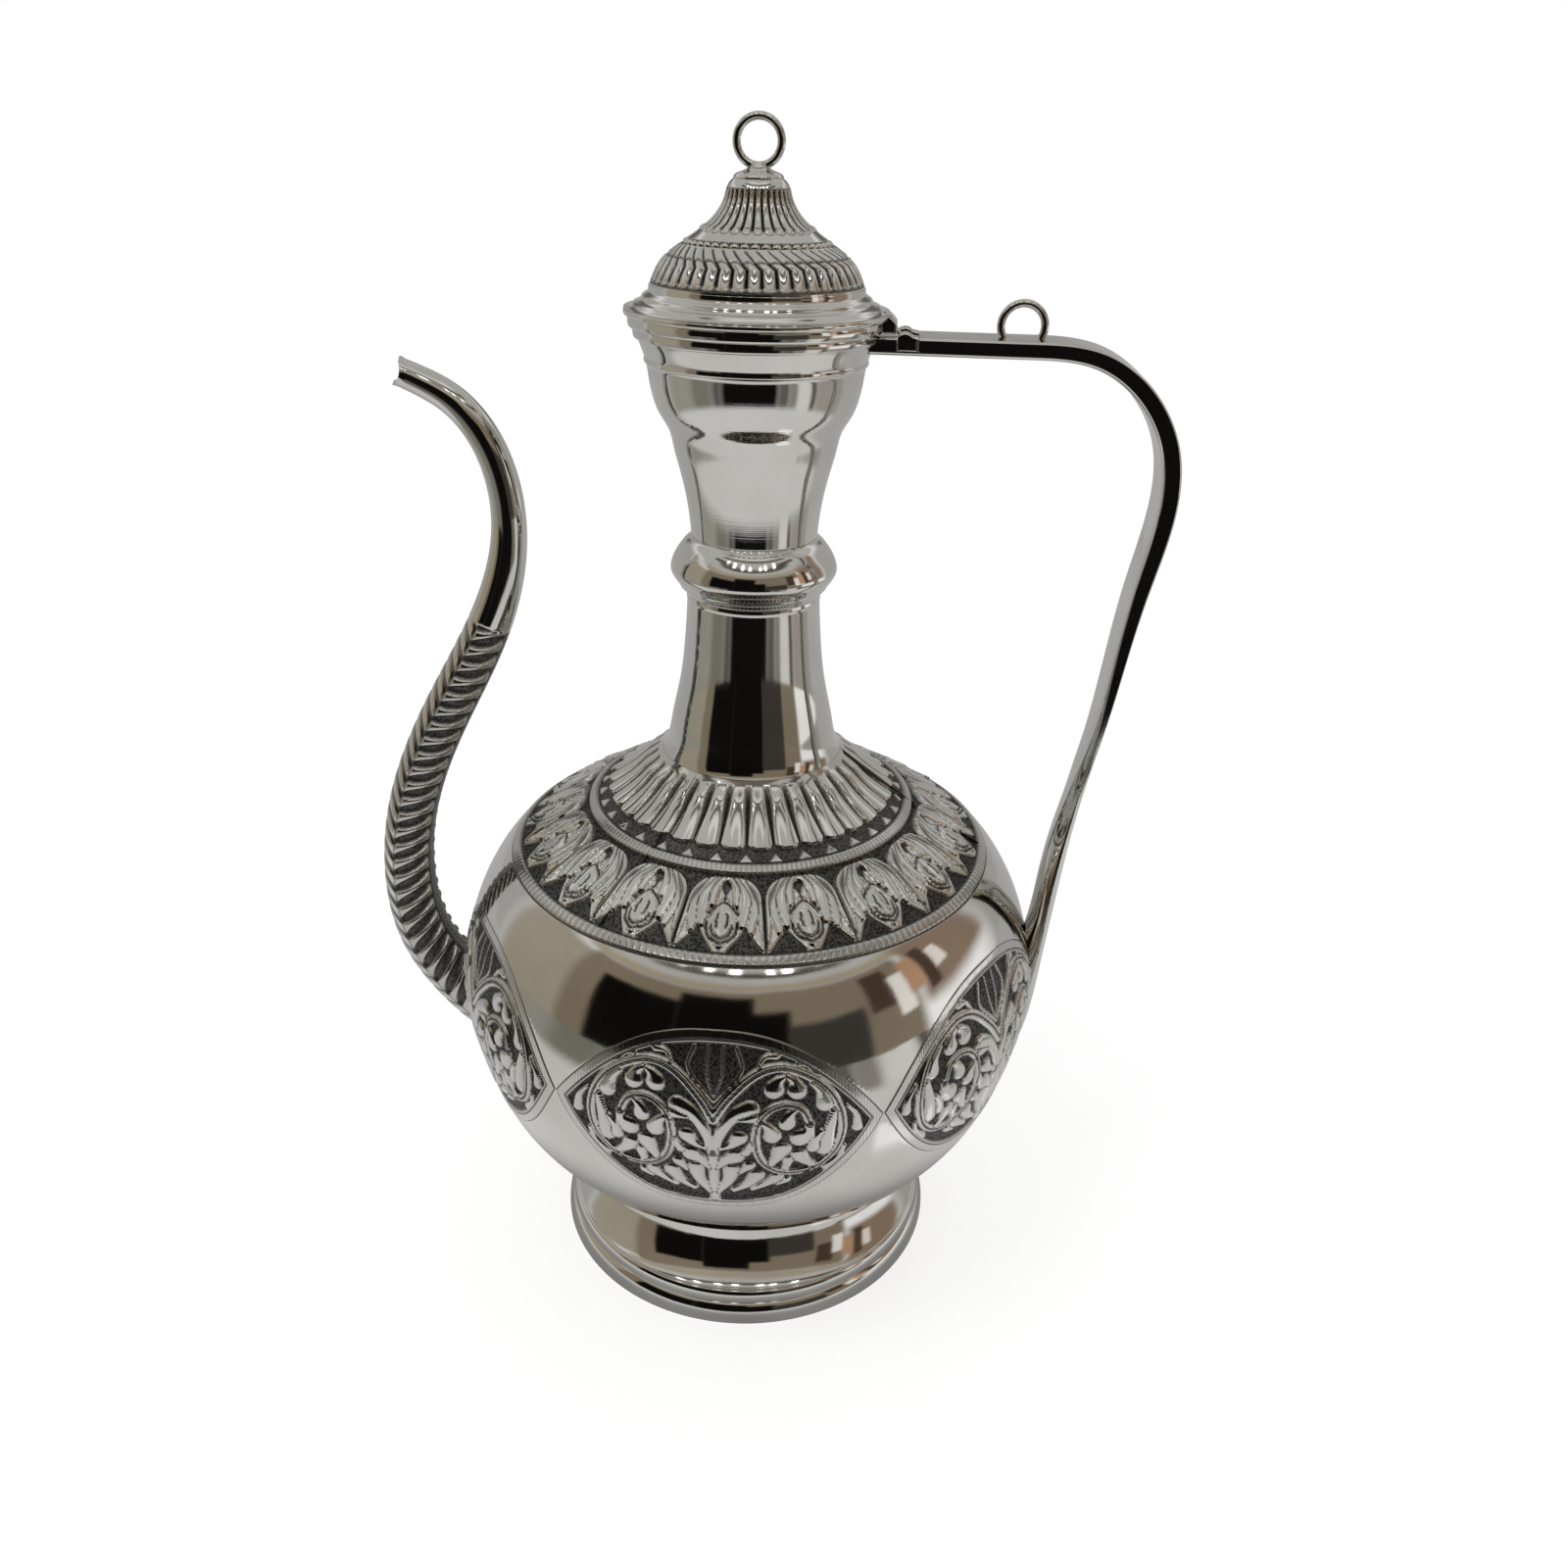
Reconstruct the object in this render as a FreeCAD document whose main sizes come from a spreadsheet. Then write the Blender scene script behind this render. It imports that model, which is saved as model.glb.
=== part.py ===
import FreeCAD, Part
import os
from math import cos, pi, sin
from types import SimpleNamespace
import Sketcher

# Dallah coffee pot: a spouted pot of soldered sheet metal with a hinged lid and a strap handle.
# Z is up, the handle points along +X and the spout along -X. Lengths are in millimetres.
# The origin is on the pot's axis, in the plane that the foot stands on.

doc = FreeCAD.newDocument("DallahCoffeePot")
sheet = doc.addObject("Spreadsheet::Sheet", "Sizes")

# Driving sizes

drivingSizes = {
    "sheetWall": 1.5,
    # foot
    "footRadius": 54.5,
    "footRingWidth": 7.5,
    "baseBandHeight": 6.4,
    "baseBandRounding": 0.9,
    "footGroove": 1.2,
    "footGrooveHeight": 0.8,
    "footStepHeight": 10.2,
    "pedestalStep": 2.3,
    "pedestalHeight": 18.0,
    "pedestalLap": 1.8,
    "pedestalWaistInset": 0.8,
    # belly
    "bowlFlat": 24.0,
    "bowlDish": 11.7,
    "bowlSeatRadius": 47.2,
    "bowlHeight": 59.8,
    "girthRadius": 78.7,
    "shoulderHeight": 64.5,
    "outerRingInset": 14.8,
    "ringSpacing": 20.6,
    "ringWidth": 3.2,
    "ringRelief": 0.7,
    # neck
    "neckBaseRadius": 23.2,
    "neckLength": 41.7,
    "neckTopRadius": 16.5,
    "collarRadius": 20.5,
    "collarLowerHeight": 6.2,
    "collarUpperHeight": 8.2,
    "collarWall": 1.4,
    "cupBaseRadius": 15.4,
    "cupHeight": 45.9,
    "cupTopRadius": 27.3,
    "rimBandStep": 1.0,
    "rimBandHeight": 2.3,
    "rimStep": 1.1,
    "rimHeight": 4.8,
    "rimWall": 4.0,
    # lid
    "lidClearance": 0.5,
    "bezelDepth": 3.6,
    "bezelTaper": 0.65,
    "brimOverhang": 0.9,
    "brimEdge": 1.5,
    "brimLedge": 1.9,
    "brimFlare": 5.9,
    "brimRise": 6.3,
    "brimBeadInset": 2.6,
    "brimBeadWidth": 1.5,
    "brimBeadRelief": 0.45,
    "domeStep": 0.3,
    "domeTopRadius": 15.5,
    "domeRise": 9.85,
    "gadroonDepth": 0.6,
    "bellTopRadius": 6.0,
    "bellRise": 12.15,
    "fluteDepth": 0.35,
    "capStep": 0.5,
    "capRise": 1.9,
    "capRounding": 1.0,
    # rings of wire
    "loopRadius": 4.9,
    "loopWire": 0.9,
    "loopSink": 0.5,
    "handleLoopSetback": 3.9,
    "handleLoopCover": 0.7,
    # handle
    "handleWidth": 14.0,
    "barDrop": 3.1,
    "barThickness": 4.0,
    "barLength": 38.0,
    "handleOverhang": 20.2,
    "handleBendDrop": 33.2,
    "gripThickness": 4.4,
    "handleEndInset": 0.7,
    "handleEndDrop": 17.0,
    "handleInnerRounding": 1.3,
    "handleOuterRounding": 0.7,
    # hinge
    "hingeSetback": 3.5,
    "hingeDrop": 4.3,
    "knuckleRadius": 1.4,
    "leafWidth": 5.0,
    "tailWidth": 11.0,
    "tailThickness": 1.2,
    "lugCrown": 0.3,
    "slotBack": 3.2,
    "hingeSideGap": 0.3,
    "knuckleGap": 0.4,
    "pinRadius": 0.6,
    "pinClearance": 0.05,
    "pinEnd": 0.4,
    # spout
    "spoutWall": 1.2,
    "spoutRootDepth": 9.7,
    "spoutRootDrop": 27.5,
    "spoutOverhang": 17.9,
    "spoutLowRise": 45.5,
    "spoutNeckInset": 17.7,
    "spoutRise": 102.0,
    "spoutTipOverhang": 24.6,
    "spoutTipRise": 36.0,
    "spoutRootRadius": 9.2,
    "spoutBendRadius": 7.0,
    "spoutJointRadius": 5.8,
    "spoutNeckRadius": 4.3,
    "spoutLipRadius": 3.8,
    "spoutTipRadius": 3.2,
    "mouthNotchRadius": 3.4,
    "mouthNotchDepth": 1.8,
}


class Size:
    # a length and the sheet formula that gives it
    def __init__(self, value, formula):
        self.value = value
        self.formula = formula

    def __add__(self, other):
        return Size(self.value + other.value, f"({self.formula} + {other.formula})")

    def __sub__(self, other):
        return Size(self.value - other.value, f"({self.formula} - {other.formula})")

    def __mul__(self, share):
        return Size(self.value * share, f"({self.formula} * {share})")


for row, (name, number) in enumerate(drivingSizes.items(), start=1):
    sheet.set(f"A{row}", name)
    sheet.set(f"B{row}", str(number))
    sheet.setAlias(f"B{row}", name)
doc.recompute()
size = SimpleNamespace(**{name: Size(float(sheet.get(name)), f"Sizes.{name}") for name in drivingSizes})
nothing = Size(0.0, "0")
doubled = 2
half = 0.5

# Sizes that follow from the driving ones, from the foot upwards

size.footBore = size.footRadius - size.footRingWidth
size.pedestalRadius = size.footRadius - size.pedestalStep
size.pedestalWaist = size.bowlSeatRadius - size.pedestalWaistInset
size.bowlSeatHeight = size.footStepHeight + size.pedestalHeight
size.pedestalTop = size.bowlSeatHeight + size.pedestalLap
size.bowlBottom = size.bowlSeatHeight - size.bowlDish
size.girthHeight = size.bowlSeatHeight + size.bowlHeight
size.outerRingRadius = size.girthRadius - size.outerRingInset
size.innerRingRadius = size.outerRingRadius - size.ringSpacing
size.neckBaseHeight = size.girthHeight + size.shoulderHeight
size.neckTopHeight = size.neckBaseHeight + size.neckLength
size.collarHeight = size.neckTopHeight + size.collarLowerHeight
size.collarBore = size.cupBaseRadius - size.collarWall
size.cupBaseHeight = size.collarHeight + size.collarUpperHeight
size.cupTopHeight = size.cupBaseHeight + size.cupHeight
size.rimBandRadius = size.cupTopRadius + size.rimBandStep
size.rimRadius = size.rimBandRadius + size.rimStep
size.rimBore = size.rimRadius - size.rimWall
size.lidFloor = size.cupTopHeight + size.rimHeight
size.bezelRadius = size.rimBore - size.lidClearance
size.bezelBore = size.bezelRadius - size.sheetWall
size.brimRadius = size.rimRadius + size.brimOverhang
size.brimBore = size.bezelBore - size.brimLedge
size.brimStepRadius = size.brimRadius - size.brimFlare
size.brimTop = size.lidFloor + size.brimRise
size.domeRadius = size.brimStepRadius - size.domeStep
size.domeTop = size.brimTop + size.domeRise
size.bellTop = size.domeTop + size.bellRise
size.capRadius = size.bellTopRadius - size.capStep
size.capTopRadius = size.capRadius - size.capRounding
size.capTop = size.bellTop + size.capRise
size.barTop = size.lidFloor - size.barDrop
size.barFloor = size.barTop - size.barThickness
size.barRoot = size.rimBore + size.lidClearance
size.barEnd = size.barRoot + size.barLength
size.handleReach = size.girthRadius + size.handleOverhang
size.handleReachHeight = size.barTop - size.handleBendDrop
size.handleEndReach = size.girthRadius - size.handleEndInset
size.handleEndHeight = size.girthHeight - size.handleEndDrop
size.handleLoopReach = size.barEnd - size.handleLoopSetback
size.handleLoopHeight = size.barFloor + size.handleLoopCover + size.loopWire + size.loopRadius
size.lidLoopHeight = size.capTop - size.loopSink + size.loopWire + size.loopRadius
size.hingeReach = size.brimRadius + size.hingeSetback
size.hingeHeight = size.lidFloor - size.hingeDrop
size.lugWidth = (size.handleWidth - size.leafWidth) * half - size.hingeSideGap
size.hingeLength = size.leafWidth + (size.hingeSideGap + size.lugWidth + size.pinEnd) * doubled
size.spoutRootReach = size.girthRadius - size.spoutRootDepth
size.spoutRootHeight = size.girthHeight - size.spoutRootDrop
size.spoutBendReach = size.girthRadius + size.spoutOverhang
size.spoutBendHeight = size.spoutRootHeight + size.spoutLowRise
size.spoutNeckReach = size.girthRadius - size.spoutNeckInset
size.spoutNeckHeight = size.spoutBendHeight + size.spoutRise
size.spoutTipReach = size.spoutNeckReach + size.spoutTipOverhang
size.spoutTipHeight = size.spoutNeckHeight + size.spoutTipRise

# Shares of the way from a curve's start to its end, along X or the radius and along Z

footShares = [(0.45, 0.18), (0.85, 0.52)]
bowlShares = [(0.40, 0.20), (0.76, 0.465), (0.93, 0.75)]
shoulderShares = [(0.026, 0.155), (0.08, 0.31), (0.15, 0.434), (0.267, 0.564), (0.476, 0.678),
                  (0.697, 0.793), (0.895, 0.907)]
collarLowerShares = [(0.43, 0.36), (0.88, 0.76)]
collarUpperShares = [(0.2, 0.24), (0.47, 0.39), (0.79, 0.55), (0.96, 0.76)]
neckShares = [(0.36, 0.18), (0.71, 0.45), (0.92, 0.74)]
cupShares = [(0.143, 0.159), (0.26, 0.312), (0.412, 0.466), (0.618, 0.621), (0.798, 0.773), (0.908, 0.928)]
brimShares = [(0.5, 0.3), (0.8, 0.61)]
domeShares = [(0.06, 0.19), (0.34, 0.57), (0.72, 0.83)]
bellShares = [(0.244, 0.128), (0.566, 0.342), (0.756, 0.547), (0.82, 0.695), (0.847, 0.819)]
capShares = [(0.35, 0.7)]
tailShares = [(0.26, 0.27), (0.44, 0.57), (0.64, 0.886)]
bendShares = [(0.42, 0.055), (0.8, 0.355), (0.97, 0.72)]
gripShares = [(0.177, 0.156), (0.411, 0.361), (0.622, 0.526), (0.766, 0.704), (0.866, 0.862)]
gripInnerShares = [(0.153, 0.176), (0.354, 0.407), (0.493, 0.526), (0.574, 0.593), (0.675, 0.667),
                   (0.775, 0.778), (0.842, 0.874)]
spoutLowShares = [(0.57, 0.27), (0.885, 0.57)]
spoutRiseShares = [(0.1, 0.23), (0.46, 0.517), (0.826, 0.76)]
spoutTipShares = [(0.06, 0.37), (0.21, 0.617), (0.48, 0.828), (0.744, 0.93)]
tubeStations = 10
tipStations = 8
spoutBendShare = 0.26
jointShare = 0.66
spoutNeckShare = 0.77
spoutLipShare = 0.92

leafHollowShare = 0.8
tailEndShare = 0.38

# The lid's fluting: share of the way up, share of the full depth, and turn in flutes

gadroons = 44
gadroonRings = [(0.0, 0.2, 0.0), (0.14, 0.9, 0.0), (0.4, 1.0, -0.05), (0.65, 0.75, -0.3), (0.85, 0.45, -0.8),
                (1.0, 0.25, -1.1)]
flutes = 32
fluteRings = [(0.0, 0.0, 0.0), (0.1, 0.0, 0.0), (0.22, 0.05, 0.0), (0.36, 0.3, 0.0), (0.52, 1.0, 0.0),
              (0.7, 1.0, 0.0), (0.84, 0.8, 0.0), (1.0, 0.3, 0.0)]
fullTurn = 2 * pi
notchWidths = 3
insetSteps = 12
halvings = 40
touching = 0.01

# Directions that the curves start and end in, in the plane of handle and spout

up = FreeCAD.Vector(0, 1, 0)
outward = FreeCAD.Vector(1, 0, 0)
pedestalFootWay = FreeCAD.Vector(-0.6, 0.8, 0)
shoulderTopWay = FreeCAD.Vector(-0.72, 0.7, 0)
neckFootWay = FreeCAD.Vector(-0.6, 0.8, 0)
collarFootWay = FreeCAD.Vector(0.7, 0.7, 0)
cupFootWay = FreeCAD.Vector(0.25, 1, 0)
cupTopWay = FreeCAD.Vector(0.35, 1, 0)
brimEdgeWay = FreeCAD.Vector(-1, 0.25, 0)
brimStepWay = FreeCAD.Vector(-0.3, 1, 0)
domeFootWay = FreeCAD.Vector(-0.05, 1, 0)
domeTopWay = FreeCAD.Vector(-1, 0.75, 0)
bellFootWay = FreeCAD.Vector(-1, 0.6, 0)
bellTopWay = FreeCAD.Vector(-0.8, 0.6, 0)
tailRootWay = FreeCAD.Vector(-1, 0.6, 0)
tailEndWay = FreeCAD.Vector(-1, 0.25, 0)
capTopWay = FreeCAD.Vector(-1, 0.2, 0)
gripEndWay = FreeCAD.Vector(-0.25, -1, 0)
gripLandingWay = FreeCAD.Vector(0.1, 1, 0)
spoutRootWay = FreeCAD.Vector(-1, 0.45, 0)
spoutTipWay = FreeCAD.Vector(-1, 0.35, 0)
alongY = FreeCAD.Rotation(FreeCAD.Vector(1, 0, 0), -90)


# Outlines in the XZ plane

def flat(point):
    return FreeCAD.Vector(point[0].value, point[1].value, 0)


def pointsBetween(start, end, shares):
    way = end - start
    return [start + FreeCAD.Vector(way.x * across, way.y * rise, 0) for across, rise in shares]


def smoothCurve(points, startWay, endWay):
    curve = Part.BSplineCurve()
    curve.interpolate(Points=points, InitialTangent=startWay, FinalTangent=endWay)
    return curve


def shapedCurve(start, end, shares, startWay, endWay):
    first, last = flat(start), flat(end)
    return smoothCurve([first] + pointsBetween(first, last, shares) + [last], startWay, endWay)


def insetCurve(curve, wall, start, end):
    # the curve's inner side, one wall in from it, run backwards between two corners
    first, last = curve.FirstParameter, curve.LastParameter
    points = [flat(start)]
    for step in range(insetSteps - 1, 0, -1):
        at = first + (last - first) * step / insetSteps
        along = curve.tangent(at)[0]
        points.append(curve.value(at) + FreeCAD.Vector(-along.y, along.x, 0) * wall.value)
    points.append(flat(end))
    inside = Part.BSplineCurve()
    inside.interpolate(Points=points)
    return inside


def levelInset(corner, curve, at, wall):
    # the inner corner of a wall that is cut off level
    along = curve.tangent(at)[0]
    return corner[0] - wall * round(1 / abs(along.y), 4), corner[1]


def edgeEnd(sketch, edge, point):
    starts = sketch.getPoint(edge, 1)
    ends = sketch.getPoint(edge, 2)
    return 1 if starts.distanceToPoint(point) < ends.distanceToPoint(point) else 2


def pinCorner(sketch, edge, end, corner):
    for kind, axis, length in (("DistanceX", -2, corner[0]), ("DistanceY", -1, corner[1])):
        if length is nothing:
            sketch.addConstraint(Sketcher.Constraint("PointOnObject", edge, end, axis))
        else:
            held = sketch.addConstraint(Sketcher.Constraint(kind, -1, 1, edge, end, length.value))
            sketch.setExpression(f"Constraints[{held}]", length.formula)


def drawOutline(sketch, corners, bends):
    # straight edges from corner to corner, or the curve that bends holds for the edge after a corner
    for index, corner in enumerate(corners):
        after = corners[(index + 1) % len(corners)]
        sketch.addGeometry(bends.get(index) or Part.LineSegment(flat(corner), flat(after)))
    for index, corner in enumerate(corners):
        before = (index - 1) % len(corners)
        own = edgeEnd(sketch, index, flat(corner))
        other = edgeEnd(sketch, before, flat(corner))
        sketch.addConstraint(Sketcher.Constraint("Coincident", before, other, index, own))
        pinCorner(sketch, index, own, corner)


def newSketch(body):
    sketch = body.newObject("Sketcher::SketchObject", body.Name + "Outline")
    plane = next(feature for feature in body.Origin.OriginFeatures if feature.Role == "XZ_Plane")
    sketch.AttachmentSupport = [(plane, "")]
    sketch.MapMode = "FlatFace"
    return sketch


def turnedBody(label, corners, bends):
    body = doc.addObject("PartDesign::Body", label)
    sketch = newSketch(body)
    drawOutline(sketch, corners, bends)
    turn = body.newObject("PartDesign::Revolution", label + "Turn")
    turn.Profile = sketch
    turn.ReferenceAxis = (sketch, ["V_Axis"])
    turn.Angle = 360
    return body


def turnedShell(label, start, end, curve, wall):
    innerStart = levelInset(start, curve, curve.FirstParameter, wall)
    innerEnd = levelInset(end, curve, curve.LastParameter, wall)
    bends = {0: curve, 2: insetCurve(curve, wall, innerEnd, innerStart)}
    return turnedBody(label, [start, end, innerEnd, innerStart], bends)


def paddedBody(label, corners, bends, width):
    body = doc.addObject("PartDesign::Body", label)
    sketch = newSketch(body)
    drawOutline(sketch, corners, bends)
    pad = body.newObject("PartDesign::Pad", label + "Pad")
    pad.Profile = sketch
    pad.Midplane = True
    pad.setExpression("Length", width.formula)
    return body


def cutBy(label, base, *tools):
    result = base
    for index, tool in enumerate(tools):
        cut = doc.addObject("Part::Cut", f"{label}Cut{index}")
        cut.Base = result
        cut.Tool = tool
        result = cut
    result.Label = label
    return result


def cylinderAlongY(label, radius, length, reach, height):
    # a round bar across the pot, centred on the plane of handle and spout
    bar = doc.addObject("Part::Cylinder", label)
    bar.setExpression("Radius", radius.formula)
    bar.setExpression("Height", length.formula)
    bar.Placement.Rotation = alongY
    bar.setExpression("Placement.Base.x", reach.formula)
    bar.setExpression("Placement.Base.y", f"-({length.formula}) * {half}")
    bar.setExpression("Placement.Base.z", height.formula)
    return bar


# Foot

def footBaseRing():
    bandTop = size.baseBandHeight
    stepFoot = bandTop + size.footGrooveHeight
    edge = size.footRadius - size.baseBandRounding
    groove = size.footRadius - size.footGroove - size.baseBandRounding
    step = size.footRadius - size.footGroove
    stepEdge = step - size.baseBandRounding * half
    corners = [(size.footBore, nothing), (edge, nothing), (edge, bandTop), (groove, bandTop),
               (groove, stepFoot), (stepEdge, stepFoot), (stepEdge, size.footStepHeight),
               (size.footBore, size.footStepHeight)]
    bandBulge = (size.footRadius, bandTop * half)
    stepBulge = (step, (stepFoot + size.footStepHeight) * half)
    bends = {
        1: Part.Arc(flat(corners[1]), flat(bandBulge), flat(corners[2])),
        5: Part.Arc(flat(corners[5]), flat(stepBulge), flat(corners[6]))}
    return turnedBody("foot_base_ring", corners, bends)


def footPedestal(bellySolid):
    start = (size.pedestalRadius, size.footStepHeight)
    end = (size.pedestalWaist, size.pedestalTop)
    curve = shapedCurve(start, end, footShares, pedestalFootWay, up)
    shell = turnedShell("pedestalShell", start, end, curve, size.sheetWall)
    return cutBy("foot_pedestal", shell, bellySolid)


# Belly

bowlAxis = (nothing, size.bowlBottom)
bowlFlatEnd = (size.bowlFlat, size.bowlBottom)
bowlSeat = (size.bowlSeatRadius, size.bowlSeatHeight)
girth = (size.girthRadius, size.girthHeight)
neckBase = (size.neckBaseRadius, size.neckBaseHeight)


def bowlCurve():
    seat = flat(bowlSeat)
    points = [flat(bowlFlatEnd), seat] + pointsBetween(seat, flat(girth), bowlShares) + [flat(girth)]
    return smoothCurve(points, outward, up)


def shoulderCurve():
    return shapedCurve(girth, neckBase, shoulderShares, up, shoulderTopWay)


def paramAtRadius(curve, radius):
    low, high = curve.FirstParameter, curve.LastParameter
    for halving in range(halvings):
        middle = (low + high) * half
        low, high = (middle, high) if curve.value(middle).x > radius.value else (low, middle)
    return low


def bellySolidBody():
    # the belly's outside as one solid, which the foot, spout and handle are fitted to
    top = (nothing, size.neckBaseHeight)
    corners = [bowlAxis, bowlFlatEnd, girth, neckBase, top]
    return turnedBody("bellySolid", corners, {1: bowlCurve(), 2: shoulderCurve()})


def lowerBowl(spoutBore):
    curve = bowlCurve()
    floor = size.bowlBottom + size.sheetWall
    innerGirth = levelInset(girth, curve, curve.LastParameter, size.sheetWall)
    floorEnd = (size.bowlFlat, floor)
    corners = [bowlAxis, bowlFlatEnd, girth, innerGirth, floorEnd, (nothing, floor)]
    bends = {1: curve, 3: insetCurve(curve, size.sheetWall, innerGirth, floorEnd)}
    shell = turnedBody("bowlShell", corners, bends)
    return cutBy("body_lower_bowl", shell, spoutBore)


def beadOn(curve, outerEdge, width, relief):
    # a raised ring on a line that runs inwards: where it starts and ends, and its arc
    beadStart = paramAtRadius(curve, outerEdge)
    beadEnd = paramAtRadius(curve, outerEdge - width)
    middle = (beadStart + beadEnd) * half
    along = curve.tangent(middle)[0]
    crest = curve.value(middle) + FreeCAD.Vector(along.y, -along.x, 0) * relief.value
    return beadStart, beadEnd, Part.Arc(curve.value(beadStart), crest, curve.value(beadEnd))


def beadedLine(curve, start, end, outerEdges, width, relief):
    # the corners and bends of a line with raised rings that begin at the given radii
    corners = [start]
    bends = {}
    begin = curve.FirstParameter
    for outerEdge in outerEdges:
        beadStart, beadEnd, arc = beadOn(curve, outerEdge, width, relief)
        bends[len(corners) - 1] = curve.toBSpline(begin, beadStart)
        corners.append((outerEdge, Size(curve.value(beadStart).y, str(curve.value(beadStart).y))))
        bends[len(corners) - 1] = arc
        corners.append((outerEdge - width, Size(curve.value(beadEnd).y, str(curve.value(beadEnd).y))))
        begin = beadEnd
    bends[len(corners) - 1] = curve.toBSpline(begin, curve.LastParameter)
    corners.append(end)
    return corners, bends


def upperShoulder():
    curve = shoulderCurve()
    rings = (size.outerRingRadius, size.innerRingRadius)
    corners, bends = beadedLine(curve, girth, neckBase, rings, size.ringWidth, size.ringRelief)
    innerTop = levelInset(neckBase, curve, curve.LastParameter, size.sheetWall)
    innerGirth = levelInset(girth, curve, curve.FirstParameter, size.sheetWall)
    corners += [innerTop, innerGirth]
    bends[len(corners) - 2] = insetCurve(curve, size.sheetWall, innerTop, innerGirth)
    return turnedBody("body_upper_shoulder", corners, bends)


# Neck

def neckTrumpet():
    end = (size.neckTopRadius, size.neckTopHeight)
    curve = shapedCurve(neckBase, end, neckShares, neckFootWay, up)
    return turnedShell("neck_trumpet", neckBase, end, curve, size.sheetWall)


def neckCollar():
    bottom = (size.neckTopRadius, size.neckTopHeight)
    crest = (size.collarRadius, size.collarHeight)
    top = (size.cupBaseRadius, size.cupBaseHeight)
    corners = [(size.collarBore, size.neckTopHeight), bottom, crest, top,
               (size.collarBore, size.cupBaseHeight)]
    lower = shapedCurve(bottom, crest, collarLowerShares, collarFootWay, up)
    upper = shapedCurve(crest, top, collarUpperShares, up, up)
    return turnedBody("neck_collar", corners, {1: lower, 2: upper})


def neckCup():
    start = (size.cupBaseRadius, size.cupBaseHeight)
    end = (size.cupTopRadius, size.cupTopHeight)
    curve = shapedCurve(start, end, cupShares, cupFootWay, cupTopWay)
    return turnedShell("neck_cup", start, end, curve, size.sheetWall)


def mouthRim():
    bandTop = size.cupTopHeight + size.rimBandHeight
    corners = [(size.rimBore, size.cupTopHeight), (size.rimBandRadius, size.cupTopHeight),
               (size.rimBandRadius, bandTop), (size.rimRadius, bandTop),
               (size.rimRadius, size.lidFloor), (size.rimBore, size.lidFloor)]
    return turnedBody("mouth_rim", corners, {})


# Lid

def lidBrim():
    edge = (size.brimRadius, size.lidFloor + size.brimEdge)
    step = (size.brimStepRadius, size.brimTop)
    flare = shapedCurve(edge, step, brimShares, brimEdgeWay, brimStepWay)
    bead = size.brimRadius - size.brimBeadInset
    corners, bends = beadedLine(flare, edge, step, [bead], size.brimBeadWidth, size.brimBeadRelief)
    corners += [(size.brimBore, size.brimTop), (size.brimBore, size.lidFloor),
                (size.brimRadius, size.lidFloor)]
    return turnedBody("lid_brim", corners, bends)


def lidBezel():
    # tapered, so that its near side swings clear of the mouth
    bottom = size.lidFloor - size.bezelDepth
    corners = [(size.bezelBore - size.bezelTaper, bottom), (size.bezelRadius - size.bezelTaper, bottom),
               (size.bezelRadius, size.lidFloor), (size.bezelBore, size.lidFloor)]
    return turnedBody("lid_bezel", corners, {})


def scallopedRing(count, radius, depth, height, turn):
    # a level ring of equal arcs that bulge outwards between cusps
    def spot(reach, step):
        angle = (step + turn) / count * fullTurn
        return FreeCAD.Vector(reach * cos(angle), reach * sin(angle), height)
    low = radius - depth
    return Part.Wire([Part.Arc(spot(low, step), spot(radius, step + half), spot(low, step + 1)).toShape()
                      for step in range(count)])


def flutedShell(label, start, end, curve, count, depth, rings):
    # an outside lofted through scalloped rings, hollowed by the turned inside of the same line
    first, last = curve.FirstParameter, curve.LastParameter
    wires = []
    for share, amount, turn in rings:
        spot = curve.value(first + (last - first) * share)
        wires.append(scallopedRing(count, spot.x, depth.value * amount, spot.y, turn))
    blank = doc.addObject("Part::Feature", label + "Blank")
    blank.Shape = Part.makeLoft(wires, True)
    innerStart = levelInset(start, curve, first, size.sheetWall)
    innerEnd = levelInset(end, curve, last, size.sheetWall)
    corners = [innerEnd, innerStart, (nothing, start[1]), (nothing, end[1])]
    bends = {0: insetCurve(curve, size.sheetWall, innerEnd, innerStart)}
    return cutBy(label, blank, turnedBody(label + "Core", corners, bends))


def lidDome():
    start = (size.domeRadius, size.brimTop)
    end = (size.domeTopRadius, size.domeTop)
    curve = shapedCurve(start, end, domeShares, domeFootWay, domeTopWay)
    return flutedShell("lid_dome", start, end, curve, gadroons, size.gadroonDepth, gadroonRings)


def lidBell():
    start = (size.domeTopRadius, size.domeTop)
    end = (size.bellTopRadius, size.bellTop)
    curve = shapedCurve(start, end, bellShares, bellFootWay, bellTopWay)
    return flutedShell("lid_bell", start, end, curve, flutes, size.fluteDepth, fluteRings)


def lidFinialCap():
    sideTop = size.bellTop + size.capRise * half
    corners = [(nothing, size.bellTop), (size.capRadius, size.bellTop), (size.capRadius, sideTop),
               (size.capTopRadius, size.capTop), (nothing, size.capTop)]
    shoulder = shapedCurve(corners[2], corners[3], capShares, up, capTopWay)
    return turnedBody("lid_finial_cap", corners, {2: shoulder})


def wireLoop(label, reach, centre, seat):
    # an upright ring of wire, cut to its seat
    ring = doc.addObject("Part::Torus", label + "Wire")
    ring.setExpression("Radius1", size.loopRadius.formula)
    ring.setExpression("Radius2", size.loopWire.formula)
    ring.Placement.Rotation = alongY
    ring.setExpression("Placement.Base.x", reach.formula)
    ring.setExpression("Placement.Base.z", centre.formula)
    return cutBy(label, ring, seat)


# Handle and hinge

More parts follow.
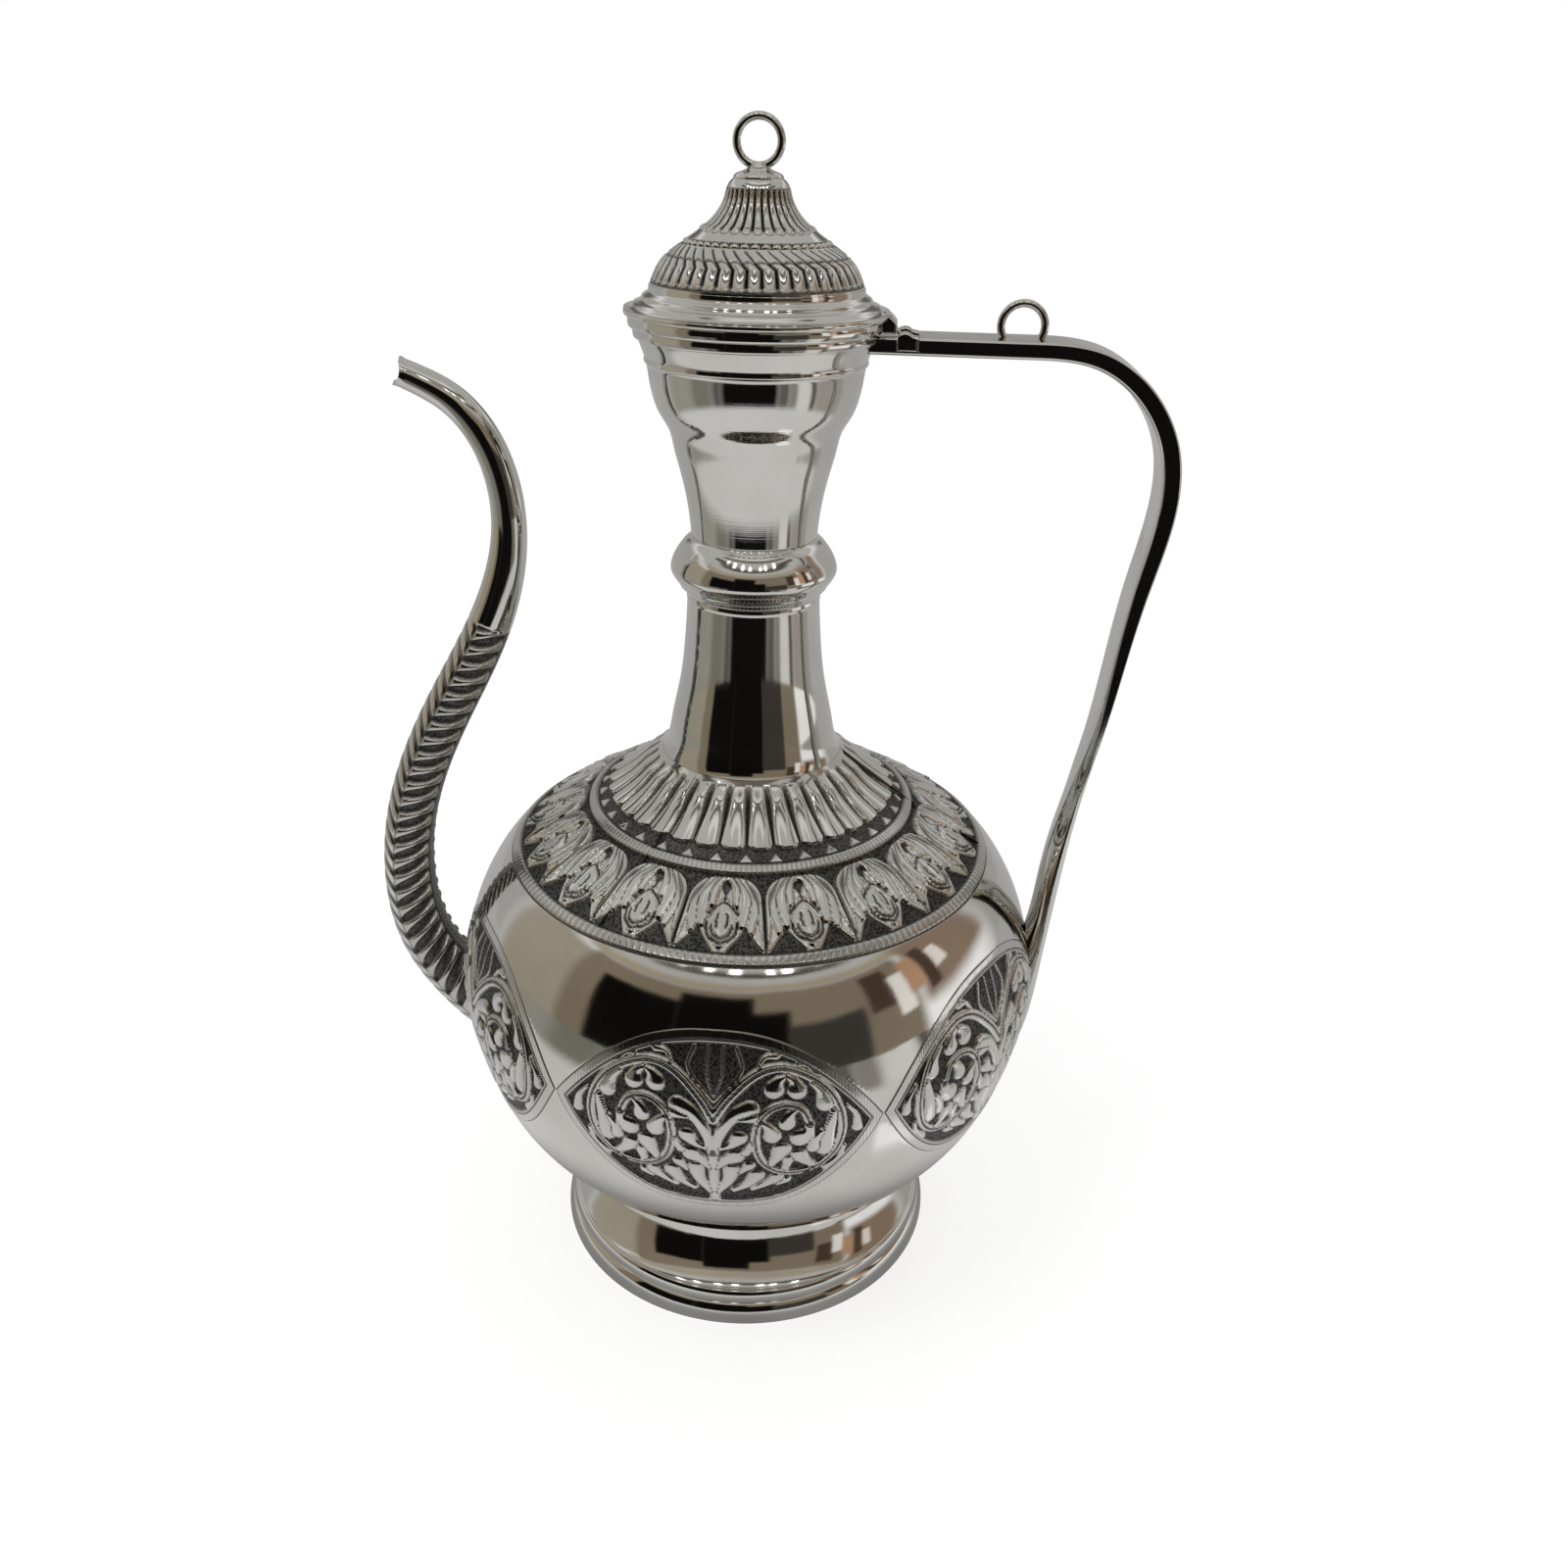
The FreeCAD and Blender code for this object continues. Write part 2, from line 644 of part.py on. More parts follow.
def nearCurve(edge, curves):
    middle = edge.valueAt((edge.FirstParameter + edge.LastParameter) * half)
    spot = Part.Vertex(middle.x, middle.z, 0)
    return any(curve.toShape().distToShape(spot)[0] < touching for curve in curves)


def roundEdges(body, label, curves, rounding):
    doc.recompute()
    base = body.Tip
    names = []
    for index, edge in enumerate(base.Shape.Edges, start=1):
        ends = [corner.Point.y for corner in edge.Vertexes]
        if max(ends) - min(ends) < touching and nearCurve(edge, curves):
            names.append(f"Edge{index}")
    fillet = body.newObject("PartDesign::Fillet", label)
    fillet.Base = (base, names)
    fillet.setExpression("Radius", rounding.formula)
    doc.recompute()


def strapHandle(bellySolid, cup, rim, slot):
    innerReach = size.handleReach - size.gripThickness
    insideBelly = size.handleEndReach - size.gripThickness
    rootTop = (size.barRoot, size.barTop)
    bendTop = (size.barEnd, size.barTop)
    reach = (size.handleReach, size.handleReachHeight)
    endOuter = (size.handleEndReach, size.handleEndHeight)
    endInner = (insideBelly, size.handleEndHeight)
    landing = (insideBelly, size.girthHeight)
    innerTop = (innerReach, size.handleReachHeight)
    bendFloor = (size.barEnd, size.barFloor)
    rootFloor = (size.barRoot, size.barFloor)
    corners = [rootTop, bendTop, reach, endOuter, endInner, landing, innerTop, bendFloor, rootFloor]
    down = up * -1
    bend = shapedCurve(bendTop, reach, bendShares, outward, down)
    grip = shapedCurve(reach, endOuter, gripShares, down, gripEndWay)
    innerWay = pointsBetween(flat(innerTop), flat(landing), gripInnerShares)
    gripPoints = [flat(innerTop)] + innerWay + [flat(landing)]
    gripInner = smoothCurve(gripPoints[::-1], gripLandingWay, up)
    bendInner = shapedCurve(bendFloor, innerTop, bendShares, outward, down)
    bends = {1: bend, 2: grip, 5: gripInner, 6: bendInner}
    body = paddedBody("handleBlank", corners, bends, size.handleWidth)
    rootEdge = Part.LineSegment(flat(rootFloor), flat(bendFloor))
    roundEdges(body, "handleInnerFillet", [gripInner, bendInner, rootEdge], size.handleInnerRounding)
    topEdge = Part.LineSegment(flat(rootTop), flat(bendTop))
    roundEdges(body, "handleOuterFillet", [bend, grip, topEdge], size.handleOuterRounding)
    return cutBy("handle", body, bellySolid, cup, rim, slot)


def hingeSlot():
    # a slot across the bar, just behind the mouth, for the hinge to lie in
    slot = doc.addObject("Part::Box", "hingeSlot")
    room = size.knuckleRadius + size.knuckleGap
    slot.setExpression("Length", (room + size.slotBack).formula)
    slot.setExpression("Width", (size.handleWidth * doubled).formula)
    slot.setExpression("Height", (room + size.barThickness).formula)
    slot.setExpression("Placement.Base.x", (size.hingeReach - room).formula)
    slot.setExpression("Placement.Base.y", (nothing - size.handleWidth).formula)
    slot.setExpression("Placement.Base.z", (size.hingeHeight - room).formula)
    return slot


def pinBore(label, length):
    radius = size.pinRadius + size.pinClearance
    return cylinderAlongY(label, radius, length, size.hingeReach, size.hingeHeight)


def hingeLug(label, side):
    # a cheek that fills the bar's slot beside the lid's knuckle, flush with the bar
    room = size.knuckleRadius + size.knuckleGap
    left = size.hingeReach - room
    right = size.hingeReach + size.slotBack
    crown = ((left + right) * half, size.barTop + size.lugCrown)
    seat = size.hingeHeight - room
    corners = [(left, seat), (right, seat), (right, size.barTop), (left, size.barTop)]
    bends = {2: Part.Arc(flat(corners[2]), flat(crown), flat(corners[3]))}
    body = paddedBody(label + "Blank", corners, bends, size.lugWidth)
    offset = (size.leafWidth + size.lugWidth) * half + size.hingeSideGap
    body.setExpression("Placement.Base.y", f"{side} * {offset.formula}")
    return cutBy(label, body, pinBore(label + "Bore", size.hingeLength))


def fused(label, base, tool):
    joined = doc.addObject("Part::Fuse", label)
    joined.Base = base
    joined.Tool = tool
    return joined


def lidHingeLeaf(brim):
    # a broad tail that sweeps down from the brim's edge, and a narrow arm on to the lid's knuckle
    start = size.brimRadius - size.brimEdge
    crown = (size.hingeReach, size.hingeHeight + size.knuckleRadius)
    root = (start, size.lidFloor + size.brimEdge)
    hollow = size.hingeReach - size.knuckleRadius * leafHollowShare
    edge = size.brimRadius + size.hingeSideGap
    sweep = shapedCurve(crown, root, tailShares, tailEndWay, tailRootWay)
    at = sweep.FirstParameter + (sweep.LastParameter - sweep.FirstParameter) * tailEndShare
    spot, along = sweep.value(at), sweep.tangent(at)[0]
    under = spot + FreeCAD.Vector(along.y, -along.x, 0) * -size.tailThickness.value
    tailEnd = (Size(spot.x, str(spot.x)), Size(spot.y, str(spot.y)))
    tailUnder = (Size(under.x, str(under.x)), Size(under.y, str(under.y)))
    tailCorners = [(start, size.lidFloor), (edge, size.lidFloor), tailUnder, tailEnd, root]
    tail = paddedBody("leafTail", tailCorners, {3: sweep.toBSpline(at, sweep.LastParameter)}, size.tailWidth)
    armCorners = [(start, size.lidFloor), (edge, size.lidFloor), (hollow, size.barTop + size.knuckleGap),
                  (hollow, size.hingeHeight), (size.hingeReach, size.hingeHeight), crown, root]
    arm = paddedBody("leafArm", armCorners, {5: sweep}, size.leafWidth)
    barrel = cylinderAlongY("leafBarrel", size.knuckleRadius, size.leafWidth, size.hingeReach,
                            size.hingeHeight)
    blank = fused("leafBlank", fused("leafArmBarrel", arm, barrel), tail)
    return cutBy("lid_hinge_leaf", blank, pinBore("leafBore", size.leafWidth * doubled), brim)


# Spout

def spoutPath():
    root = FreeCAD.Vector(-size.spoutRootReach.value, size.spoutRootHeight.value, 0)
    bend = FreeCAD.Vector(-size.spoutBendReach.value, size.spoutBendHeight.value, 0)
    neck = FreeCAD.Vector(-size.spoutNeckReach.value, size.spoutNeckHeight.value, 0)
    tip = FreeCAD.Vector(-size.spoutTipReach.value, size.spoutTipHeight.value, 0)
    points = [root] + pointsBetween(root, bend, spoutLowShares) + [bend]
    points += pointsBetween(bend, neck, spoutRiseShares) + [neck]
    points += pointsBetween(neck, tip, spoutTipShares) + [tip]
    return smoothCurve(points, spoutRootWay, spoutTipWay)


def blend(first, second, share):
    return first + (second - first) * round(share, 4)


def spoutRadius(share):
    # the tube's outer radius at a share of the path's length
    marks = [(0.0, size.spoutRootRadius), (spoutBendShare, size.spoutBendRadius),
             (jointShare, size.spoutJointRadius), (spoutNeckShare, size.spoutNeckRadius),
             (spoutLipShare, size.spoutLipRadius), (1.0, size.spoutTipRadius)]
    for (begin, first), (finish, second) in zip(marks, marks[1:]):
        if share <= finish:
            return blend(first, second, (share - begin) / (finish - begin))
    return size.spoutTipRadius


def spoutLoft(label, beginShare, finishShare, stations, inset):
    path = spoutPath()
    line = path.toShape()
    sections = []
    for station in range(stations):
        share = beginShare + (finishShare - beginShare) * station / (stations - 1)
        at = line.getParameterByLength(line.Length * share)
        spot = path.value(at)
        along = path.tangent(at)[0]
        circle = doc.addObject("Part::Circle", f"{label}Section{station}")
        radius = spoutRadius(share) - inset
        circle.setExpression("Radius", radius.formula)
        turn = FreeCAD.Rotation(FreeCAD.Vector(0, 0, 1), FreeCAD.Vector(along.x, 0, along.y))
        circle.Placement = FreeCAD.Placement(FreeCAD.Vector(spot.x, 0, spot.y), turn)
        sections.append(circle)
    loft = doc.addObject("Part::Loft", label)
    loft.Sections = sections
    loft.Solid = True
    loft.Ruled = False
    return loft


def spoutTube(bellySolid, bore):
    blank = spoutLoft("spoutTubeBlank", 0.0, jointShare, tubeStations, nothing)
    return cutBy("spout_tube", blank, bore, bellySolid)


def spoutTip():
    blank = spoutLoft("spoutTipBlank", jointShare, 1.0, tipStations, nothing)
    bore = spoutLoft("spoutTipBore", jointShare, 1.0, tipStations, size.spoutWall)
    beyond = size.mouthNotchRadius - size.mouthNotchDepth
    notch = cylinderAlongY("mouthNotch", size.mouthNotchRadius, size.spoutNeckRadius * notchWidths,
                           nothing - size.spoutTipReach - beyond, size.spoutTipHeight)
    return cutBy("spout_tip", blank, bore, notch)


# Assembly

bellySolid = bellySolidBody()
spoutBore = spoutLoft("spoutTubeBore", 0.0, jointShare, tubeStations, size.spoutWall)
cup = neckCup()
rim = mouthRim()
brim = lidBrim()
cap = lidFinialCap()
handle = strapHandle(bellySolid, cup, rim, hingeSlot())
subParts = [
    footBaseRing(), footPedestal(bellySolid), lowerBowl(spoutBore), upperShoulder(), neckTrumpet(),
    neckCollar(), cup, rim, spoutTube(bellySolid, spoutBore), spoutTip(), handle,
    wireLoop("handle_ring", size.handleLoopReach, size.handleLoopHeight, handle),
    hingeLug("hinge_lug_front", -1), hingeLug("hinge_lug_back", 1),
    cylinderAlongY("hinge_pin", size.pinRadius, size.hingeLength, size.hingeReach, size.hingeHeight),
    brim, lidBezel(), lidDome(), lidBell(), cap,
    wireLoop("lid_finial_ring", nothing, size.lidLoopHeight, cap), lidHingeLeaf(brim)]
doc.recompute()

for item in doc.Objects:
    if "Invalid" in item.State or "Error" in item.State:
        raise RuntimeError(f"{item.Label} did not build: {item.State}")
for part in subParts:
    if part.Shape.isNull() or not part.Shape.isValid():
        raise RuntimeError(f"{part.Label} has no sound shape")

os.makedirs("parts", exist_ok=True)
for part in subParts:
    part.Shape.exportStep(f"parts/{part.Label}.step")
    print(part.Label, len(part.Shape.Solids), "solids", round(part.Shape.Volume), "mm3")
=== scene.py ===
import math

import bpy
import numpy as np
from mathutils import Matrix, Vector


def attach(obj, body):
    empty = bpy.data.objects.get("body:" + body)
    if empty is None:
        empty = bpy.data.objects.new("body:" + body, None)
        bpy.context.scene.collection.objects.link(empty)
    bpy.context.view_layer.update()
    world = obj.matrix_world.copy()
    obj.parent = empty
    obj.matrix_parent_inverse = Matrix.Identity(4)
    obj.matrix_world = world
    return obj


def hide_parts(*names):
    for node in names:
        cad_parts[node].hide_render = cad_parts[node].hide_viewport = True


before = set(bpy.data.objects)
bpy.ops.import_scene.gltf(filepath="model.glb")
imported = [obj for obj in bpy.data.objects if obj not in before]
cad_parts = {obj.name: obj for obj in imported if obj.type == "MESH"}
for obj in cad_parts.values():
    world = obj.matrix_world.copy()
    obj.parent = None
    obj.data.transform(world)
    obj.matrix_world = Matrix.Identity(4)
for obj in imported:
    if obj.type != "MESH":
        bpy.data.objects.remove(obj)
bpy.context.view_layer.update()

mm = 0.001
fullTurn = 2 * math.pi
scene = bpy.context.scene
scene.view_settings.view_transform = "Standard"
print("frame loaded:", len(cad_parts), "nodes")


# lines in the plane of handle and spout, in millimetres: (radius or x, height)

def lengthAlong(line):
    return np.r_[0, np.cumsum(np.linalg.norm(np.diff(line, axis=0), axis=1))]


def sampled(line, run, at):
    # the line's values at other lengths along it
    return np.stack([np.interp(at, run, axis) for axis in line.T], -1)


def evenly(line, count):
    run = lengthAlong(line)
    return sampled(line, run, np.linspace(0, run[-1], count))


def unit(ways):
    return ways / np.linalg.norm(ways, axis=-1, keepdims=True)


def smoothLine(points, startWay, endWay, count):
    # cubic pieces through the points over chord length: slopes solve the even-bending equations,
    # with both end directions given, and the line is then resampled at equal lengths
    points = np.array(points, float)
    size = len(points)
    steps = np.diff(points, axis=0)
    chord = np.linalg.norm(steps, axis=1)
    system = np.eye(size)
    known = np.zeros((size, points.shape[1]))
    known[0], known[-1] = unit(startWay), unit(endWay)
    middle = np.arange(1, size - 1)
    before, after = 1 / chord[:-1], 1 / chord[1:]
    system[middle, middle - 1] = before
    system[middle, middle] = 2 * (before + after)
    system[middle, middle + 1] = after
    known[1:-1] = 3 * (steps[:-1] * before[:, None] ** 2 + steps[1:] * after[:, None] ** 2)
    slopes = np.linalg.solve(system, known)
    along = np.r_[0, np.cumsum(chord)]
    at = np.linspace(0, along[-1], 60 * size)
    piece = np.clip(np.searchsorted(along, at, side="right") - 1, 0, size - 2)
    s = ((at - along[piece]) / chord[piece])[:, None]
    reach = chord[piece][:, None]
    line = (1 + 2 * s) * (1 - s) ** 2 * points[piece] + s * (1 - s) ** 2 * reach * slopes[piece]
    line += s ** 2 * (3 - 2 * s) * points[piece + 1] - s ** 2 * (1 - s) * reach * slopes[piece + 1]
    return evenly(line, count)


def between(start, end, shares):
    start, end = np.array(start, float), np.array(end, float)
    return [start] + [start + (end - start) * np.array(share) for share in shares] + [end]


def sideways(line):
    # unit normals on the right of the way along the line: outwards when an outside is drawn upwards
    way = unit(np.gradient(line, axis=0))
    return np.stack([way[:, 1], -way[:, 0]], -1)


def softCorners(outline, radius, steps=5):
    # each corner of a closed outline is cut back and bridged by a short parabola
    outline = np.array(outline, float)
    back = np.roll(outline, 1, 0) - outline
    ahead = np.roll(outline, -1, 0) - outline
    backLength = np.linalg.norm(back, axis=1)
    aheadLength = np.linalg.norm(ahead, axis=1)
    bend = np.degrees(np.arccos(np.clip(-(back * ahead).sum(1) / backLength / aheadLength, -1, 1)))
    t = np.linspace(0, 1, steps)[:, None]
    pieces = []
    for i, corner in enumerate(outline):
        if bend[i] < 25:
            pieces.append(corner[None])
            continue
        start = corner + back[i] / backLength[i] * min(radius, 0.4 * backLength[i])
        end = corner + ahead[i] / aheadLength[i] * min(radius, 0.4 * aheadLength[i])
        pieces.append((1 - t) ** 2 * start + 2 * t * (1 - t) * corner + t ** 2 * end)
    return np.vstack(pieces)


def closeRows(outline, step):
    # long straight runs of a closed outline get extra points, at most a step apart
    after = np.roll(outline, -1, 0)
    pieces = []
    for here, there in zip(outline, after):
        count = max(1, int(np.ceil(np.linalg.norm(there - here) / step)))
        pieces.append(here + (there - here) * (np.arange(count) / count)[:, None])
    return np.vstack(pieces)


def smoothStep(low, high, value):
    t = np.clip((value - low) / (high - low), 0, 1)
    return t * t * (3 - 2 * t)


def within(value, low, high, edge):
    return smoothStep(low - edge, low + edge, value) * smoothStep(high + edge, high - edge, value)


def hump(value, middle, width):
    # a soft bump: the exponential of minus the squared distance from its middle, in widths
    return np.exp(-((value - middle) / width) ** 2)


def ringAngles(count):
    return np.arange(count) / count * fullTurn


def polar(reach, angle, level):
    # points about the pot's axis
    return np.stack([reach * np.cos(angle), reach * np.sin(angle), level], -1)


# meshes from grids of points

def addObject(name, data):
    thing = bpy.data.objects.new(name, data)
    scene.collection.objects.link(thing)
    return thing


def gridPiece(name, points, wrapRows=False, wrapColumns=True, tone=None):
    # quads between neighbours of a grid of millimetre points; a row that shrinks to one place is a pole
    rows, columns = points.shape[:2]
    number = np.arange(rows * columns).reshape(rows, columns)
    poles = np.ptp(points, axis=1).max(axis=1) < 1e-6
    number[poles] = number[poles, :1]
    low, high = (number, np.roll(number, -1, 0)) if wrapRows else (number[:-1], number[1:])
    if wrapColumns:
        quads = np.stack([low, np.roll(low, -1, 1), np.roll(high, -1, 1), high], -1).reshape(-1, 4)
    else:
        quads = np.stack([low[:, :-1], low[:, 1:], high[:, 1:], high[:, :-1]], -1).reshape(-1, 4)
    atStart = quads[:, 0] == quads[:, 1]
    atEnd = quads[:, 2] == quads[:, 3]
    triangles = np.vstack([quads[atStart][:, [0, 2, 3]], quads[atEnd][:, [0, 1, 2]]])
    quads = quads[~atStart & ~atEnd]
    used, place = np.unique(np.r_[quads.ravel(), triangles.ravel()], return_inverse=True)
    spots = points.reshape(-1, 3)[used] * mm
    quads = place[:quads.size].reshape(-1, 4)
    triangles = place[quads.size:].reshape(-1, 3)
    a, b, c, d = (spots[quads[:, i]] for i in range(4))
    volume = np.einsum("ij,ij->", a, np.cross(b, c) + np.cross(c, d))
    if volume < 0:
        quads, triangles = quads[:, ::-1], triangles[:, ::-1]
    mesh = bpy.data.meshes.new(name)
    mesh.vertices.add(len(spots))
    mesh.vertices.foreach_set("co", spots.ravel())
    mesh.loops.add(quads.size + triangles.size)
    mesh.loops.foreach_set("vertex_index", np.r_[quads.ravel(), triangles.ravel()].astype(np.int32))
    mesh.polygons.add(len(quads) + len(triangles))
    starts = np.r_[np.arange(len(quads)) * 4, quads.size + np.arange(len(triangles)) * 3]
    mesh.polygons.foreach_set("loop_start", starts.astype(np.int32))
    mesh.polygons.foreach_set("use_smooth", np.ones(len(starts), bool))
    mesh.update(calc_edges=True)
    mesh.validate()
    if tone is not None:
        layer = mesh.attributes.new("tone", "FLOAT", "POINT")
        layer.data.foreach_set("value", tone.reshape(-1)[used].astype(np.float32))
    return addObject(name, mesh)


def capped(points):
    # the middle of the first and of the last row, repeated as a row each, closes both ends
    ends = np.repeat(points[[0, -1]].mean(1, keepdims=True), points.shape[1], 1)
    return np.vstack([ends[:1], points, ends[1:]])


def around(line, columns, height=None, sides=None):
    # a line turned about the pot's axis, lifted along its own normals by a height for each place
    reach = np.repeat(line[:, :1], columns, 1)
    level = np.repeat(line[:, 1:], columns, 1)
    if height is not None:
        reach = reach + sides[:, :1] * height
        level = level + sides[:, 1:] * height
    return polar(reach, ringAngles(columns), level)


def turnedPiece(name, outline, columns=240, radius=0.3, step=0.7):
    return gridPiece(name, around(closeRows(softCorners(outline, radius), step), columns), wrapRows=True)


def settle(piece, body, slotName, material, *nodes, sharp=50):
    piece.data.materials.append(material)
    piece.data.set_sharp_from_angle(angle=math.radians(sharp))
    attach(piece, body)
    if nodes:
        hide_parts(*nodes)


def polished(piece, body, *nodes, sharp=50):
    settle(piece, body, "polished_silver", polishedSilver, *nodes, sharp=sharp)


def chased(piece, body, *nodes):
    settle(piece, body, "chased_silver", chasedSilver, *nodes, sharp=70)


# finishes

finishes = {"bright": (0.76, 0.755, 0.735, 1), "dull": (0.66, 0.65, 0.62, 1),
            "oxideAndShade": (0.022, 0.021, 0.020, 1), "brightRough": 0.045, "dullRough": 0.0765,
            "oxideRough": 0.5, "bump": 0.10, "bumpDistance": 0.0012, "clouds": (0.3, 0.7),
            "scratchHeight": 0.03, "toolRings": 2600.0, "toolRingHeight": 0.05, "grain": 1500.0,
            "grainEdges": (0.15, 0.75), "grainShade": 0.86, "grainHeight": 0.35}
# scale and detail of each field of noise
polishScales = {"Wave Scale": (60, 1.0), "Cloud Scale": (35, 4.0), "Scratch Scale": (900, 2.0)}


def addNode(tree, kind, **values):
    node = tree.nodes.new(kind)
    for name, value in values.items():
        if hasattr(node, name):
            setattr(node, name, value)
        else:
            node.inputs[name.replace("_", " ")].default_value = value
    return node


def feed(tree, node, *values, start=0):
    # links or plain values for a run of the node's inputs
    for socket, value in zip(node.inputs[start:], values):
        if hasattr(value, "links"):
            tree.links.new(value, socket)
        else:
            socket.default_value = value


def mixColours(tree, share, first, second):
    # the colour inputs of a mix node start at its seventh
    mix = addNode(tree, "ShaderNodeMix", data_type="RGBA")
    feed(tree, mix, share)
    feed(tree, mix, first, second, start=6)
    return mix.outputs[2]


def mapped(tree, value, fromLow, fromHigh, toLow, toHigh):
    node = addNode(tree, "ShaderNodeMapRange", interpolation_type="SMOOTHSTEP")
    feed(tree, node, value, fromLow, fromHigh, toLow, toHigh)
    return node.outputs[0]


def combined(tree, operation, *values):
    node = addNode(tree, "ShaderNodeMath", operation=operation)
    feed(tree, node, *values)
    return node.outputs[0]


def newMaterial(name):
    material = bpy.data.materials.new(name)
    material.use_nodes = True
    return material, material.node_tree, material.node_tree.nodes["Principled BSDF"]


def handPolish():
    # hand-polished silver: slow waves of the raised sheet, cloudy wiping marks and hairline scratches
    group = bpy.data.node_groups.new("handPolish", "ShaderNodeTree")
    face = group.interface
    for name, (scale, detail) in polishScales.items():
        face.new_socket(name, in_out="INPUT", socket_type="NodeSocketFloat").default_value = scale
    for name in ("Clouds", "Height"):
        face.new_socket(name, in_out="OUTPUT", socket_type="NodeSocketFloat")
    enter = group.nodes.new("NodeGroupInput")
    leave = group.nodes.new("NodeGroupOutput")
    place = group.nodes.new("ShaderNodeTexCoord").outputs["Object"]
    fields = []
    for name, (scale, detail) in polishScales.items():
        noise = addNode(group, "ShaderNodeTexNoise", Detail=detail)
        group.links.new(place, noise.inputs["Vector"])
        group.links.new(enter.outputs[name], noise.inputs["Scale"])
        fields.append(noise.outputs[0])
    waves, clouds, scratches = fields
    group.links.new(mapped(group, clouds, *finishes["clouds"], 0.0, 1.0), leave.inputs["Clouds"])
    fine = combined(group, "MULTIPLY", scratches, finishes["scratchHeight"])
    group.links.new(combined(group, "ADD", waves, fine), leave.inputs["Height"])
    return group


polishGroup = handPolish()


def silver(name, ornament=False, toolRings=False):
    material, tree, shader = newMaterial(name)
    shader.inputs["Metallic"].default_value = 1.0
    polish = tree.nodes.new("ShaderNodeGroup")
    polish.node_tree = polishGroup
    colour = mixColours(tree, polish.outputs["Clouds"], finishes["bright"], finishes["dull"])
    rough = mapped(tree, polish.outputs["Clouds"], 0, 1, finishes["brightRough"], finishes["dullRough"])
    height = polish.outputs["Height"]
    if toolRings:
        # rings left by the turning tool, fading in and out up the neck
        spot = addNode(tree, "ShaderNodeTexCoord").outputs["Object"]
        rings = addNode(tree, "ShaderNodeTexNoise", noise_dimensions="1D", Detail=2.0,
                        Scale=finishes["toolRings"])
        split = addNode(tree, "ShaderNodeSeparateXYZ")
        tree.links.new(spot, split.inputs[0])
        tree.links.new(split.outputs["Z"], rings.inputs["W"])
        lines = combined(tree, "MULTIPLY", rings.outputs[0], finishes["toolRingHeight"])
        height = combined(tree, "ADD", height, lines)
    if ornament:
        # oxide in the hollows and painted shade on the relief, both carried by the mesh's own tone, broken up
        # by a punched grain
        patinaAndShade = addNode(tree, "ShaderNodeAttribute", attribute_name="tone").outputs["Fac"]
        spot = addNode(tree, "ShaderNodeTexCoord").outputs["Object"]
        grain = addNode(tree, "ShaderNodeTexVoronoi", Scale=finishes["grain"])
        tree.links.new(spot, grain.inputs["Vector"])
        speckle = mapped(tree, grain.outputs["Distance"], *finishes["grainEdges"], 0.0, 1.0)
        shade = combined(tree, "MULTIPLY", patinaAndShade, mapped(tree, speckle, 0, 1, 1.0, finishes["grainShade"]))
        colour = mixColours(tree, shade, colour, finishes["oxideAndShade"])
        rough = combined(tree, "ADD", rough, combined(tree, "MULTIPLY", patinaAndShade, finishes["oxideRough"]))
        pits = combined(tree, "MULTIPLY", speckle, patinaAndShade)
        height = combined(tree, "ADD", height, combined(tree, "MULTIPLY", pits, finishes["grainHeight"]))
    bump = addNode(tree, "ShaderNodeBump", Strength=finishes["bump"], Distance=finishes["bumpDistance"])
    tree.links.new(height, bump.inputs["Height"])
    tree.links.new(colour, shader.inputs["Base Color"])
    tree.links.new(rough, shader.inputs["Roughness"])
    tree.links.new(bump.outputs["Normal"], shader.inputs["Normal"])
    return material


polishedSilver = silver("polishedSilver")
turnedSilver = silver("turnedSilver", toolRings=True)
chasedSilver = silver("chasedSilver", ornament=True)
print("finishes ready")


# foot: a rolled base ring with a groove, and the pedestal that the belly stands in

foot = {"radius": 54.5, "bore": 47.0, "edge": 0.3, "bandLow": 0.6, "bandTop": 6.4, "bandInset": 3.4,
        "stepRadius": 53.0, "stepInset": 1.6, "grooveTop": 6.9, "stepTop": 10.2, "wall": 1.5,
        "columns": 360,
        "pedestal": [(51.4, 10.2), (49.2, 11.9), (47.2, 13.9), (45.3, 16.4), (43.7, 19.3), (42.6, 22.4),
                     (42.2, 25.5)]}


def bulged(radius, bulge, low, high, count=14):
    # half an ellipse between two levels that stands out by the bulge at mid height
    t = np.sin(np.linspace(-0.5, 0.5, count) * math.pi)
    return np.stack([radius - bulge * (1 - np.sqrt(1 - t ** 2)), (low + high) / 2 + t * (high - low) / 2], -1)


def quarterRound(radius, inset, low, high, count=30):
    # a quarter of an ellipse from upright at the lower level to flat at the upper one, drawn in by the inset
    t = np.linspace(0, 0.5 * math.pi, count)
    return np.stack([radius - inset * (1 - np.cos(t)), low + (high - low) * np.sin(t)], -1)


footOutline = np.vstack([
    [[foot["bore"], 0]],
    [[foot["radius"] - foot["edge"], 0]],
    quarterRound(foot["radius"], foot["bandInset"], foot["bandLow"], foot["bandTop"]),
    quarterRound(foot["stepRadius"], foot["stepInset"], foot["grooveTop"], foot["stepTop"]),
    [[foot["bore"], foot["stepTop"]]]])
polished(turnedPiece("foot_base", footOutline, foot["columns"], 0.2), "pot", "foot_base_ring")


def shell(outside, wall):
    # a closed outline: the outside drawn upwards, and back down one wall inside it
    return np.vstack([outside, (outside - sideways(outside) * wall)[::-1]])


pedestalSide = smoothLine(foot["pedestal"], (-1, 0.6), (0, 1), 90)
pedestalOutline = shell(pedestalSide, foot["wall"])
polished(turnedPiece("foot_wall", pedestalOutline, foot["columns"]), "pot", "foot_pedestal")
print("foot built")


